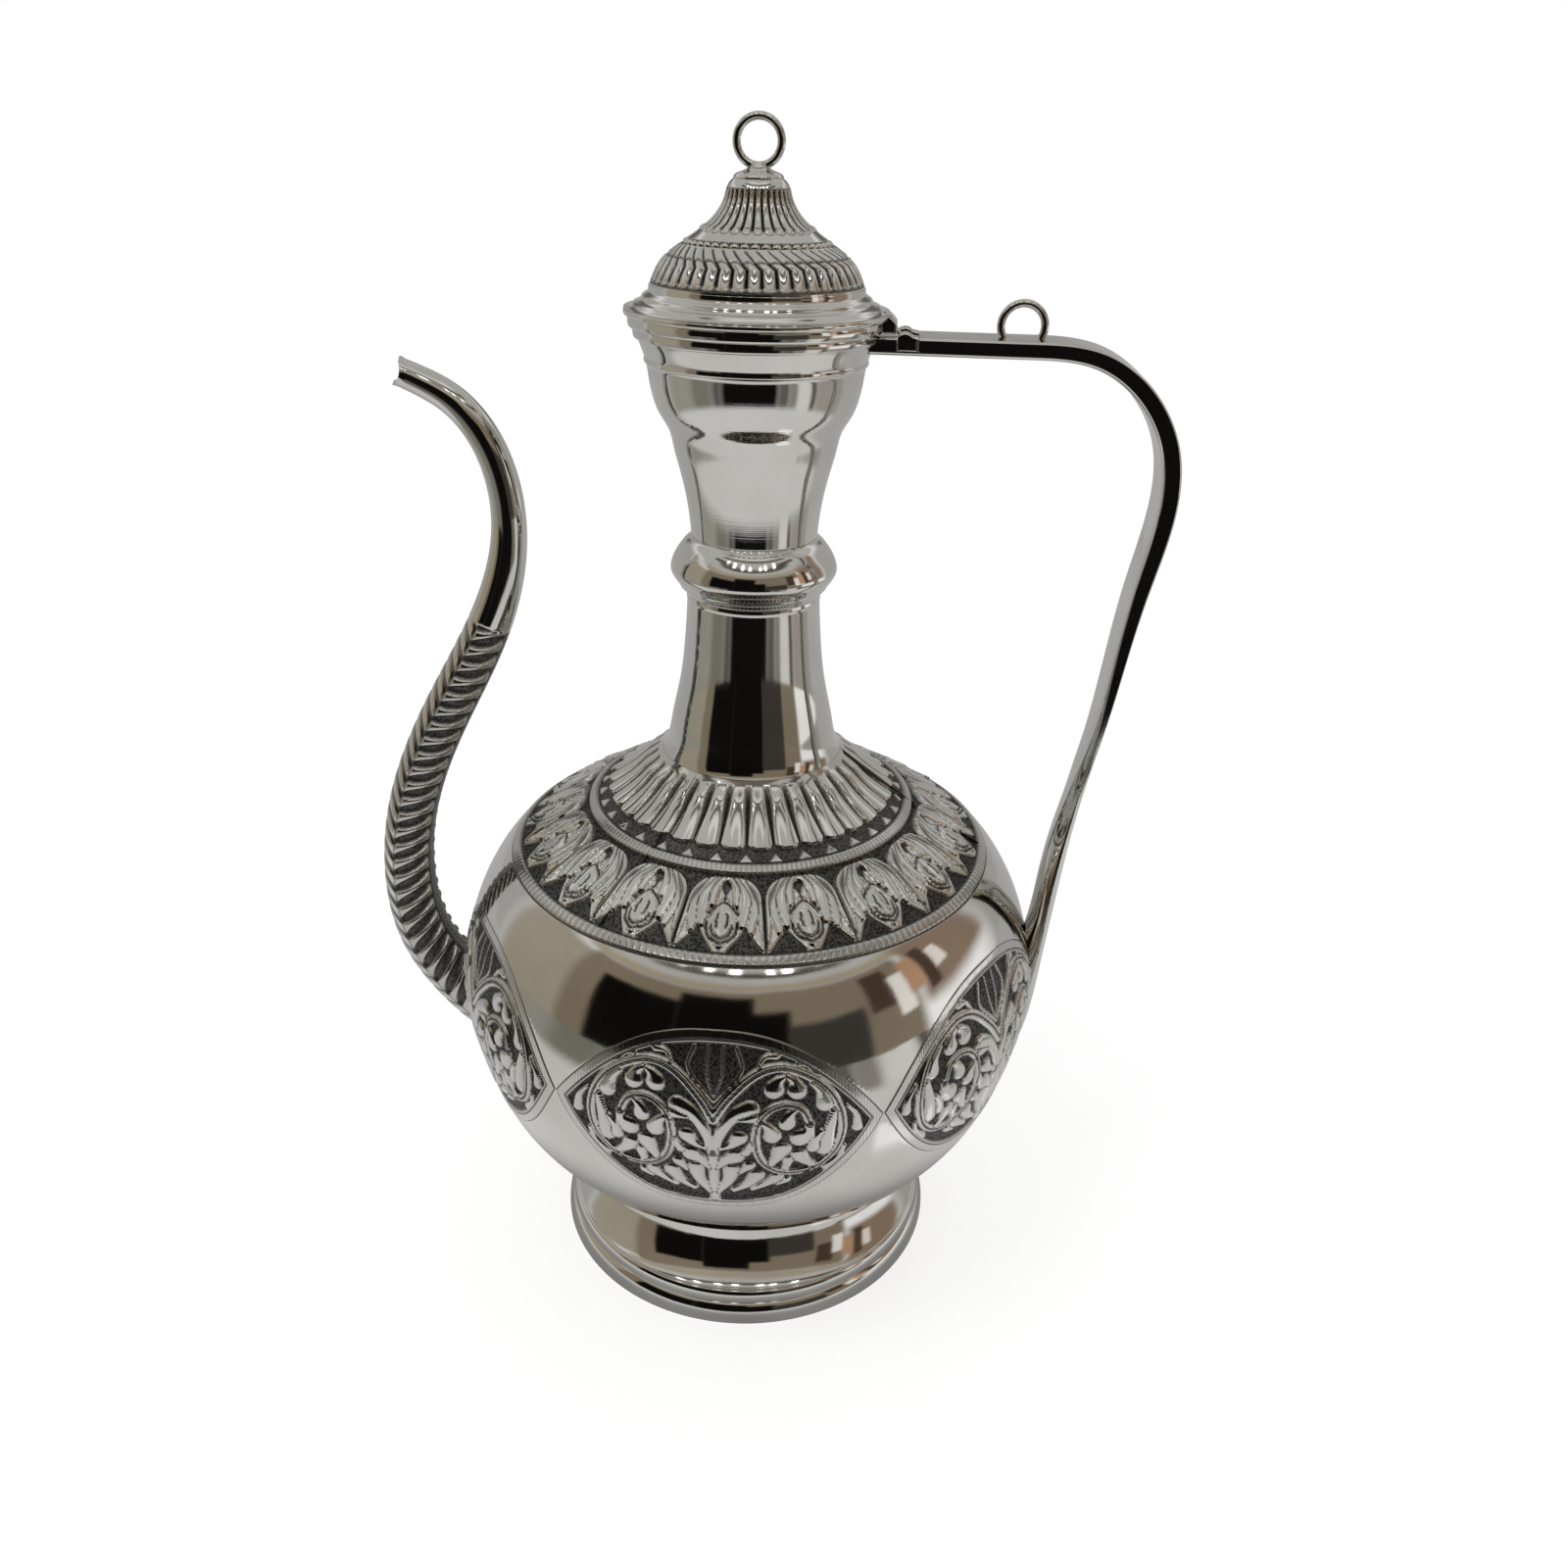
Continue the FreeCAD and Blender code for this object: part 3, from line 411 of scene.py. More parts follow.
# belly: one line from the middle of the bottom up to the neck

belly = {"bottom": 16.5, "flat": 24.0, "seat": (47.2, 28.2), "girth": (78.7, 88.0), "neck": (23.2, 152.5),
         "wall": 1.5, "ringRadius": 63.9, "columns": 420, "fineFrom": 86.0, "rows": (6, 40, 78),
         "backRows": 60, "bowlShares": [(0.40, 0.20), (0.76, 0.465), (0.93, 0.75)],
         "shoulderShares": [(0.026, 0.155), (0.08, 0.31), (0.15, 0.434), (0.267, 0.564), (0.476, 0.678),
                            (0.697, 0.793), (0.895, 0.907)]}
bowlPoints = [(belly["flat"], belly["bottom"])] + between(belly["seat"], belly["girth"], belly["bowlShares"])
bowlLine = smoothLine(bowlPoints, (1, 0), (0, 1), 1200)
shoulderPoints = between(belly["girth"], belly["neck"], belly["shoulderShares"])
shoulderLine = smoothLine(shoulderPoints, (0, 1), (-0.72, 0.7), 1200)
bodyLine = np.vstack([[[0, belly["bottom"]]], bowlLine, shoulderLine[1:]])
bodyRun = lengthAlong(bodyLine)
bodySides = sideways(bodyLine)
neckRun = bodyRun[-1]


def onBody(run):
    # place and outward direction at a length along the body's line
    return sampled(bodyLine, bodyRun, run), unit(sampled(bodySides, bodyRun, run))


def runAtRadius(radius):
    upper = slice(len(bowlLine), None)
    return np.interp(-radius, -bodyLine[upper, 0], bodyRun[upper])


lens = {"count": 6, "firstTurn": -90.0, "halfTurn": 30.0, "tipRun": 122.2, "up": 25.0, "down": 28.8,
        "upBulge": 2.4, "downBulge": 2.8, "sunk": 1.0, "sinks": (1.8, 3.2), "columns": 330, "rows": 176,
        "backRows": 7, "back": -0.85, "crowding": 0.92}
lensHalf = math.radians(lens["halfTurn"]) * belly["girth"][0]


def lensEdge(x):
    # upper and lower edges of the pointed oval: a height times one minus a power of the share across
    share = np.clip(np.abs(x) / lensHalf, 0, 1)
    return lens["up"] * (1 - share ** lens["upBulge"]), -lens["down"] * (1 - share ** lens["downBulge"])


def bellyPiece():
    # the plain sheet, sunk a little behind each medallion
    ringRun = runAtRadius(belly["ringRadius"])
    ends = (0, belly["flat"], belly["fineFrom"], ringRun)
    outer = np.unique(np.hstack([np.linspace(*part) for part in zip(ends, ends[1:], belly["rows"])]))
    line, sides = onBody(outer)
    turn = np.degrees(ringAngles(belly["columns"]))
    nearest = (turn - lens["firstTurn"] + lens["halfTurn"]) % (2 * lens["halfTurn"]) - lens["halfTurn"]
    x = np.radians(nearest) * belly["girth"][0]
    top, low = lensEdge(x)
    y = outer[:, None] - lens["tipRun"]
    inset = np.minimum(top - y, y - low)
    height = -lens["sunk"] * smoothStep(*lens["sinks"], inset)
    outside = around(line, belly["columns"], height, sides)
    inner = np.linspace(ringRun, 0, belly["backRows"])
    line, sides = onBody(inner)
    inside = around(line - sides * belly["wall"], belly["columns"])
    inside[-1, :, :2] = 0
    return gridPiece("belly", np.vstack([outside, inside]))


settle(bellyPiece(), "pot", "chased_silver", polishedSilver, "body_lower_bowl", "body_upper_shoulder")
print("belly built")


# medallions: six pointed ovals with a hatched border and scrolled leaves on a dark ground

scroll = {"ground": -0.6, "rise": 0.95, "vineWidth": 1.5, "vineGroove": 0.45, "creaseDepth": 0.3,
          "grooveDepth": 0.35, "border": (3.1, 3.45), "band": (0.3, 0.5), "bandEnd": (2.3, 2.5),
          "bandFloor": 0.02, "bandRise": 0.14, "hatchPitch": 0.8, "hatchDepth": 0.05, "bead": 3.15,
          "beadWidth": 0.3, "beadRise": 0.12, "edgeDrop": 0.2}
vine = [(0, 2.7), (2.6, 7.1), (5.3, 10.3), (9.7, 14.1), (15.7, 15.8), (22.2, 13.6), (27.9, 8.6), (30.6, 1.8),
        (30.3, -5.0), (27.2, -11.0), (21.8, -14.2), (15.6, -13.6), (11.6, -9.9), (10.0, -4.4), (10.2, 0.6),
        (12.6, 4.9), (16.8, 6.6), (21.1, 4.9), (22.8, 1.1)]
branch = [(0.3, -7.5), (1.5, -1.6), (3.2, 1.8), (5.6, 4.4), (8.6, 5.6)]
stem = [(0, -25.2), (0.1, -16), (0.2, -6.5)]
budSide = [(0, 7.4), (3.2, 10.9), (6.6, 15.6), (5.2, 20.6)]
budPetal = [(0.2, 8.4), (1.7, 13.5), (2.0, 20.8)]
leaves = [  # three points along each curled leaf, with its half widths at the stalk and at the lobe
    ((17.0, 13.6), (15.4, 12.6), (14.3, 10.5), 0.9, 2.6),
    ((17.4, 13.6), (19.2, 12.2), (19.8, 9.9), 0.9, 2.5),
    ((23.6, 11.4), (25.8, 8.8), (26.6, 6.0), 1.0, 2.4),
    ((22.8, 1.1), (22.4, -1.4), (20.6, -2.9), 1.2, 2.7),
    ((19.6, 5.4), (17.8, 3.6), (17.3, 1.7), 0.9, 2.2),
    ((11.2, 2.4), (13.0, 0.6), (13.9, -1.8), 0.9, 2.3),
    ((28.6, 3.4), (27.4, -2.0), (26.8, -7.4), 1.3, 2.4),
    ((25.6, -1.6), (24.2, -4.0), (23.9, -6.4), 1.0, 1.8),
    ((24.0, -12.2), (22.2, -10.8), (20.4, -8.6), 1.1, 2.3),
    ((13.8, -11.0), (15.2, -8.6), (16.2, -6.2), 1.2, 2.5),
    ((17.4, -12.6), (17.8, -11.0), (17.9, -9.6), 1.1, 1.7),
    ((0.8, -12.6), (3.2, -9.6), (5.2, -8.4), 0.9, 2.5),
    ((1.6, -5.6), (4.4, -4.2), (6.2, -2.2), 0.8, 2.2),
    ((9.0, -3.4), (8.2, -5.6), (7.7, -6.8), 0.6, 1.4),
    ((1.0, -22.0), (3.6, -17.5), (4.4, -13.6), 1.2, 2.4),
    ((5.0, -21.0), (8.4, -18.6), (10.4, -15.6), 1.0, 2.3),
    ((9.6, -20.4), (13.0, -18.4), (15.4, -16.6), 0.9, 2.0),
    ((15.6, -18.6), (16.8, -18.0), (17.8, -17.4), 0.7, 1.4),
    ((6.4, -14.0), (7.6, -12.6), (8.6, -11.6), 0.7, 1.6),
    ((32.0, 4.4), (34.2, 1.2), (34.6, -2.2), 0.6, 1.5),
    ((31.6, -7.2), (30.6, -10.6), (27.8, -14.2), 0.6, 1.5),
    ((10.6, 16.2), (12.2, 18.4), (14.8, 18.8), 0.5, 1.3),
    ((20.0, 16.4), (22.4, 16.2), (24.6, 14.0), 0.5, 1.3),
    ((6.2, 3.0), (8.0, 3.2), (9.4, 3.6), 0.8, 1.7)]


def ridge(x, y, path, widths, rise):
    # one minus the squared distance to the path in half widths, where that is higher than the rise so far
    for (px, py), width in zip(path, widths):
        np.maximum(rise, 1 - ((x - px) ** 2 + (y - py) ** 2) / width ** 2, out=rise)
    return rise


def flowing(points, count):
    points = np.array(points, float)
    return smoothLine(points, points[1] - points[0], points[-1] - points[-2], count)


def overlaid(x, y, strokes):
    # rounded bars laid over each other: the highest counts, and where two come level they part in a crease
    highest = np.zeros_like(x)
    second = np.zeros_like(x)
    for path, widths, level in strokes:
        rise = level * np.sqrt(ridge(x, y, path, widths, np.zeros_like(x)))
        second = np.maximum(second, np.minimum(highest, rise))
        highest = np.maximum(highest, rise)
    return highest, smoothStep(0.20, 0.04, highest - second) * smoothStep(0.05, 0.2, second)


def scrollRelief(x, y):
    # height and darkness of the scrollwork; one half is drawn and the other is its mirror image
    x = np.abs(x)
    turns = flowing(vine, 190)
    strokes = [(turns, np.linspace(1.0, 0.72, 190) * scroll["vineWidth"], 1.0),
               (flowing(stem, 40), np.linspace(1.5, 1.1, 40), 1.0),
               (flowing(branch, 40), np.r_[np.linspace(1.2, 1.7, 24), np.linspace(1.7, 2.5, 16)], 1.0),
               (flowing(budSide, 40), np.full(40, 0.6), 0.42),
               (flowing(budPetal, 30), np.full(30, 0.45), 0.36)]
    for *points, first, last in leaves:
        strokes.append((flowing(points, 16), first + (last - first) * np.linspace(0, 1, 16) ** 1.5, 1.0))
    rise, crease = overlaid(x, y, strokes)
    groove = ridge(x, y, turns, np.full(190, scroll["vineGroove"]), np.zeros_like(x))
    groove = smoothStep(0.05, 0.6, groove)
    height = scroll["rise"] * rise - scroll["creaseDepth"] * crease
    height = height - scroll["grooveDepth"] * groove * (rise > 0)
    dark = 1 - smoothStep(0.12, 0.42, rise) * (1 - 0.85 * crease) * (1 - 0.9 * groove)
    # painted shade: the leaves darken from their crowns towards their edges, over a faint darkening all over
    # that stands for darker reflections and a little oxide
    return scroll["ground"] + height, np.maximum(dark, 0.08 + 0.34 * (1 - rise))


def medallionFace():
    spread = lens["crowding"] * math.pi / 2
    u = np.sin(np.linspace(-spread, spread, lens["columns"])) / math.sin(spread)
    v = np.linspace(0, 1, lens["rows"])
    x = (u * lensHalf)[:, None] + 0 * v
    top, low = lensEdge(x)
    y = low + (top - low) * v
    step = 0.01
    slopes = [(after - before) / (2 * step) for after, before in zip(lensEdge(x + step), lensEdge(x - step))]
    inset = np.minimum((top - y) / np.hypot(1, slopes[0]), (y - low) / np.hypot(1, slopes[1]))
    height, dark = scrollRelief(x, y)
    # border, from the edge inwards: a dark line, a hatched band, a dark line, a thin bead
    inside = smoothStep(*scroll["border"], inset)
    onBand = smoothStep(*scroll["band"], inset) * (1 - smoothStep(*scroll["bandEnd"], inset))
    hatch = (0.5 + 0.5 * np.cos(x / scroll["hatchPitch"] * fullTurn)) ** 2
    bead = hump(inset, scroll["bead"], scroll["beadWidth"])
    border = scroll["bandFloor"] + (scroll["bandRise"] - scroll["hatchDepth"] * hatch) * onBand
    height = border * (1 - inside) + height * inside
    height = height + bead * (scroll["beadRise"] - height)
    height = height - scroll["edgeDrop"] * (1 - smoothStep(0, 0.08, inset))
    dark = (0.9 - onBand * (0.88 - 0.3 * hatch)) * (1 - inside) + dark * inside
    return x, y, height, dark * (1 - 0.8 * bead)


def medallionPieces():
    x, y, height, dark = medallionFace()
    backShare = np.linspace(1, 0, lens["backRows"] + 2)[1:-1]
    top, low = lensEdge(x[:, :1])
    backY = low + (top - low) * backShare
    x = np.hstack([x, np.repeat(x[:, :1], lens["backRows"], 1)])
    y = np.hstack([y, backY])
    height = np.hstack([height, np.full_like(backY, lens["back"])])
    dark = np.hstack([dark, np.ones_like(backY)])
    height[[0, -1]] = height[[0, -1], :1]
    line, sides = onBody(y + lens["tipRun"])
    reach = line[..., 0] + sides[..., 0] * height
    level = line[..., 1] + sides[..., 1] * height
    for index in range(lens["count"]):
        turn = math.radians(lens["firstTurn"] + 2 * lens["halfTurn"] * index) + x / belly["girth"][0]
        points = polar(reach, turn, level)
        points[[0, -1]] = points[[0, -1], :1]
        chased(gridPiece(f"medallion_{index + 1}", points, tone=dark), "pot")


medallionPieces()
print("medallions built")


# shoulder: two ribbed rings, a band of leaves and a fan of petals round the neck

shoulder = {"leaves": 17, "leafTurn": -91.0, "petals": 34, "columns": 1122, "rows": 168, "arcs": 3,
            "ring": 3.2, "innerRing": 43.3, "ringRise": 0.55, "ringDrop": 0.1, "ringLines": 215,
            "lineDepth": 0.06, "ground": -0.5, "scallop": 3.2, "backEvery": 9}
leaf = {"width": 19.0, "length": 20.0, "rise": 0.8, "floor": 0.15, "cut": 0.4, "crease": 0.25,
        "arch": (9.45, 7.9), "archFrom": -8.4, "gapWidth": 3.95, "gapFrom": -13.8, "gapLength": 6.2,
        "gapAcross": 5.15, "lineWidth": 0.36}
petal = {"rise": 1.3, "sink": 0.35, "start": 1.2, "grow": 5.0, "round": 1.5, "lineDepth": 0.3,
         "toothRise": 0.5}
blades = [  # points down each blade of a leaf from its arch, with half widths at start, middle and end
    ((0.6, -0.6), (2.4, -2.6), (3.0, -7.8), 1.5, 1.5, 1.0),
    ((1.8, -0.6), (5.0, -5.2), (4.6, -13.0), 1.3, 2.0, 1.3),
    ((3.4, -0.8), (7.2, -5.6), (6.4, -15.0), 1.3, 1.9, 0.9),
    ((5.6, -1.8), (8.8, -8.0), (9.5, -19.0), 1.3, 2.1, 0.5),
    ((0, -7.4), (0, -14.0), (0, -18.6), 1.2, 3.5, 0.8)]
leafLines = [((0, -3.6), (0, -5.4), (0, -7.4)), ((0, -7.4), (1.7, -8.4), (3.6, -10.4)),
             ((3.6, -12.6), (2.8, -16.0), (0, -18.4)), ((2.4, -13.6), (1.7, -15.9), (0, -17.2)),
             ((1.0, -10.6), (1.3, -12.4), (1.0, -14.0))]


def leafRelief(x, y):
    # one leaf of the band, mirrored about its middle; x across and y down from the inner ring
    x = np.abs(x)
    archAcross, archUp = leaf["arch"]
    arch = 1 - np.cbrt((x / archAcross) ** 3 + (np.clip(y - leaf["archFrom"], 0, None) / archUp) ** 3)
    gap = leaf["gapWidth"] * np.clip((leaf["gapFrom"] - y) / leaf["gapLength"], 0, 1)
    gap = gap - np.abs(x - leaf["gapAcross"])
    strokes = []
    for *points, first, middle, last in blades:
        widths = np.interp(np.linspace(0, 1, 24), (0, 0.5, 1), (first, middle, last))
        strokes.append((flowing(points, 24), widths, 1.0))
    rise, crease = overlaid(x, y, strokes)
    inside = smoothStep(0.0, 0.06, arch) * (1 - smoothStep(-0.1, 0.3, gap) * smoothStep(0.6, 0.3, rise))
    groove = np.zeros_like(x)
    for line in leafLines:
        ridge(x, y, flowing(line, 24), np.full(24, leaf["lineWidth"]), groove)
    drop = ridge(x, y, np.linspace((0, -3.2), (0, -4.6), 6), np.linspace(1.35, 0.7, 6), np.zeros_like(x))
    cut = np.maximum(smoothStep(0.05, 0.5, groove), smoothStep(0.05, 0.4, drop))
    height = shoulder["ground"] + inside * (leaf["floor"] + rise * leaf["rise"] - shoulder["ground"])
    height = height - (leaf["cut"] * cut + leaf["crease"] * crease) * inside
    return height, np.maximum(1 - inside, np.maximum(0.95 * cut, 0.8 * crease * (1 - drop)))


def petalRelief(across, down, reach):
    # a rounded petal between dark lines that narrow downwards, ending over a dark scallop with pale teeth
    side = np.abs(2 * across)
    bulge = np.sqrt(np.clip(1 - side ** 2, 0, 1))
    grow = smoothStep(0, petal["grow"], down - petal["start"])
    end = reach - petal["round"] * side ** 3
    inside = 1 - smoothStep(end - 0.3, end, down)
    width = 0.5 - 0.36 * smoothStep(0.15, 0.9, down / reach)
    line = smoothStep(1 - width, 1 - 0.4 * width, side) * smoothStep(0, 1.5, down - petal["start"])
    tooth = smoothStep(0, 0.2, (down - reach) / shoulder["scallop"] - 1.75 + 1.6 * side)
    height = grow * (bulge * petal["rise"] - petal["sink"]) * inside - petal["lineDepth"] * line * inside
    height = height + (shoulder["ground"] + petal["toothRise"] * tooth) * (1 - inside)
    return height, np.maximum(0.86 * line * inside, 0.95 * (1 - inside) * (1 - tooth))


def shoulderRelief(run, turn):
    # height and darkness at lengths up the body and angles round it: leaves, petals, then the rings over both
    outerEnd = runAtRadius(belly["ringRadius"] - shoulder["ring"])
    innerStart = runAtRadius(shoulder["innerRing"])
    innerEnd = runAtRadius(shoulder["innerRing"] - shoulder["ring"])
    leafAcross, petalAcross = (((turn - shoulder["leafTurn"]) * shoulder[name] / 360 + 0.5) % 1 - 0.5
                               for name in ("leaves", "petals"))
    height = np.zeros((len(turn), len(run)))
    dark = np.zeros_like(height)
    onLeaves = (run > outerEnd) & (run < innerStart)
    y = (run[onLeaves] - innerStart) / (innerStart - outerEnd) * leaf["length"]
    relief = leafRelief(*np.meshgrid(leafAcross * leaf["width"], y, indexing="ij"))
    height[:, onLeaves], dark[:, onLeaves] = relief
    onPetals = run >= innerEnd
    down = neckRun - run[onPetals]
    reach = neckRun - innerEnd - shoulder["scallop"]
    relief = petalRelief(*np.meshgrid(petalAcross, down, indexing="ij"), reach)
    height[:, onPetals], dark[:, onPetals] = relief
    hatch = 0.5 + 0.5 * np.cos(np.radians(turn) * shoulder["ringLines"])[:, None]
    for low, high in ((run[0], outerEnd), (innerStart, innerEnd)):
        share = (run - low) / (high - low)
        onRing = (share > 0) & (share < 1)
        band = (smoothStep(0.10, 0.24, share) * (1 - smoothStep(0.76, 0.90, share)))[onRing]
        rise = shoulder["ringRise"] - shoulder["lineDepth"] * hatch
        height[:, onRing] = band * rise - shoulder["ringDrop"]
        dark[:, onRing] = 1 - band * (0.95 - 0.4 * hatch)
    height[:, 0] = 0
    dark[:, 0] = 0
    return height, dark


def shoulderPieces():
    # arcs of the turned sheet: each row is a closed section, out over the ornament and back along the inside
    run = np.linspace(runAtRadius(belly["ringRadius"]), neckRun, shoulder["rows"])
    line, sides = onBody(run)
    backLine, backSides = onBody(run[::-shoulder["backEvery"]])
    back = backLine - backSides * belly["wall"]
    steps = shoulder["columns"] // shoulder["arcs"]
    for arc in range(shoulder["arcs"]):
        turn = np.arange(arc * steps, arc * steps + steps + 1) / shoulder["columns"] * 360
        height, dark = shoulderRelief(run, turn)
        reach, level = (np.hstack([line[:, axis] + sides[:, axis] * height,
                                   np.tile(back[:, axis], (steps + 1, 1))]) for axis in (0, 1))
        points = polar(reach, np.radians(turn)[:, None], level)
        tone = np.pad(dark, ((1, 1), (0, len(back))))
        piece = gridPiece(f"shoulder_ornament_{arc + 1}", capped(points), tone=tone)
        chased(piece, "pot", "body_upper_shoulder")


shoulderPieces()
print("shoulder built")


# neck: trumpet, collar, cup and mouth rim

neck = {"wall": 1.5, "topRadius": 16.5, "top": 194.2, "ring": 193.3, "ringRise": 0.14, "ringWidth": 0.45,
        "collarLine": 196.2, "collarLineRise": 0.2, "collarRadius": 20.5, "collar": 200.4,
        "collarBore": 14.0, "cupRadius": 15.4, "cupBottom": 208.6, "cupTopRadius": 27.3, "cupTop": 254.5,
        "bead": 249.4, "beadRise": 0.4, "beadWidth": 0.55, "rimBand": 28.3, "rimBandTop": 256.8,
        "rimBandBulge": 0.3, "rim": 29.4, "rimTop": 259.3, "rimBulge": 0.35, "rimBore": 25.4,
        "rowStep": 1.2, "trumpetShares": [(0.36, 0.18), (0.71, 0.45), (0.92, 0.74)],
        "collarLowShares": [(0.43, 0.36), (0.88, 0.76)],
        "collarHighShares": [(0.07, 0.21), (0.23, 0.43), (0.48, 0.66), (0.785, 0.866)],
        "cupShares": [(0.035, 0.10), (0.115, 0.23), (0.215, 0.34), (0.33, 0.455), (0.425, 0.55),
                      (0.615, 0.635), (0.735, 0.72), (0.795, 0.80), (0.84, 0.875), (0.93, 0.95)]}
neckTop = (neck["topRadius"], neck["top"])
collarSide = (neck["collarRadius"], neck["collar"])
cupFoot = (neck["cupRadius"], neck["cupBottom"])
cupHead = (neck["cupTopRadius"], neck["cupTop"])


def ringed(line, level, rise, width):
    # a soft ring round a turned wall
    return line + sideways(line) * (rise * hump(line[:, 1], level, width))[:, None]


def ringedShell(line, level, rise, width):
    # a closed outline: the outside with one ring, drawn upwards, and back down one wall inside it
    return np.vstack([ringed(line, level, rise, width), (line - sideways(line) * neck["wall"])[::-8]])


trumpet = smoothLine(between(belly["neck"], neckTop, neck["trumpetShares"]), (-0.6, 0.8), (0, 1), 200)
trumpetOutline = ringedShell(trumpet, neck["ring"], neck["ringRise"], neck["ringWidth"])
polished(turnedPiece("neck_trumpet_skin", trumpetOutline, step=neck["rowStep"]), "pot", "neck_trumpet")

collarLow = smoothLine(between(neckTop, collarSide, neck["collarLowShares"]), (0.7, 0.7), (0, 1), 48)
collarLow = ringed(collarLow, neck["collarLine"], neck["collarLineRise"], neck["ringWidth"])
collarHigh = smoothLine(between(collarSide, cupFoot, neck["collarHighShares"]), (0, 1), (-0.2, 1), 60)
collarOutline = np.vstack([[[neck["collarBore"], neck["top"]]], collarLow, collarHigh[1:],
                           [[neck["collarBore"], neck["cupBottom"]]]])
polished(turnedPiece("neck_collar_ring", collarOutline, step=neck["rowStep"]), "pot", "neck_collar")

cup = smoothLine(between(cupFoot, cupHead, neck["cupShares"]), (0.06, 1), (0.3, 1), 180)
cupOutline = ringedShell(cup, neck["bead"], neck["beadRise"], neck["beadWidth"])
settle(turnedPiece("neck_cup_skin", cupOutline, step=neck["rowStep"]), "pot", "polished_silver", turnedSilver,
       "neck_cup")

rimOutline = np.vstack([
    [[neck["rimBore"], neck["cupTop"]]],
    bulged(neck["rimBand"], neck["rimBandBulge"], neck["cupTop"], neck["rimBandTop"]),
    bulged(neck["rim"], neck["rimBulge"], neck["rimBandTop"], neck["rimTop"]),
    [[neck["rimBore"], neck["rimTop"]]]])
polished(turnedPiece("mouth_rim_ring", rimOutline, radius=0.25), "pot", "mouth_rim")
print("neck built")


# lid: brim, bezel, gadrooned dome, fluted bell, cap and ring

lid = {"floor": 259.3, "brim": 30.3, "brimEdge": 1.5, "brimBand": 1.3, "brimBulge": 0.35,
       "brimBore": 21.5, "brimStep": 24.4, "brimTop": 265.6, "ripple": 0.17, "ripples": 3, "bezel": 24.9,
       "bezelBore": 23.4, "bezelDepth": 3.6, "bezelTaper": 0.65, "dome": 24.1, "domeTop": 275.45,
       "domeTopRadius": 15.5, "bellTop": 287.6, "bellTopRadius": 6.0, "bellPinch": 0.4, "wall": 1.6,
       "gadroons": 44, "gadroonRise": 1.05, "swirl": 1.7, "beads": 44, "beadRise": 0.9, "beadFloor": -0.7,
       "flutes": 32, "fluteDepth": 0.85, "brimShares": [(0.5, 0.3), (0.8, 0.61)],
       "domeShares": [(0.06, 0.19), (0.34, 0.57), (0.72, 0.83)],
       "bellShares": [(0.244, 0.128), (0.566, 0.342), (0.756, 0.547), (0.82, 0.695), (0.847, 0.819)]}
domeFoot = (lid["dome"], lid["brimTop"])
domeHead = (lid["domeTopRadius"], lid["domeTop"])
brimEdge = (lid["brim"], lid["floor"] + lid["brimEdge"])
brimStep = (lid["brimStep"], lid["brimTop"])
flare = smoothLine(between(brimEdge, brimStep, lid["brimShares"]), (-1, 0.25), (-0.3, 1), 90)
ripple = lid["ripple"] * (np.cos(np.linspace(0, 1, len(flare)) * fullTurn * lid["ripples"]) - 1)
flare = flare + sideways(flare) * ripple[:, None]
brimOutline = np.vstack([
    [[lid["brimBore"], lid["floor"]]],
    bulged(lid["brim"], lid["brimBulge"], lid["floor"], lid["floor"] + lid["brimBand"], 9),
    flare[1:],
    [[lid["brimBore"], lid["brimTop"]]]])
polished(turnedPiece("lid_brim_ring", brimOutline, radius=0.2, step=1.2), "lid", "lid_brim")
bezelLow = lid["floor"] - lid["bezelDepth"]
bezelOutline = [(lid["bezelBore"] - lid["bezelTaper"], bezelLow),
                (lid["bezel"] - lid["bezelTaper"], bezelLow),
                (lid["bezel"], lid["floor"]), (lid["bezelBore"], lid["floor"])]
polished(turnedPiece("lid_bezel_ring", bezelOutline), "lid", "lid_bezel")


def liddedShell(name, line, columns, height, dark):
    # a turned shell with relief on its outside
    sides = sideways(line)
    inner = (line - sides * lid["wall"])[::-6]
    points = np.vstack([around(line, columns, height, sides), around(inner, columns)])
    return gridPiece(name, points, wrapRows=True, tone=np.vstack([dark, np.zeros((len(inner), columns))]))


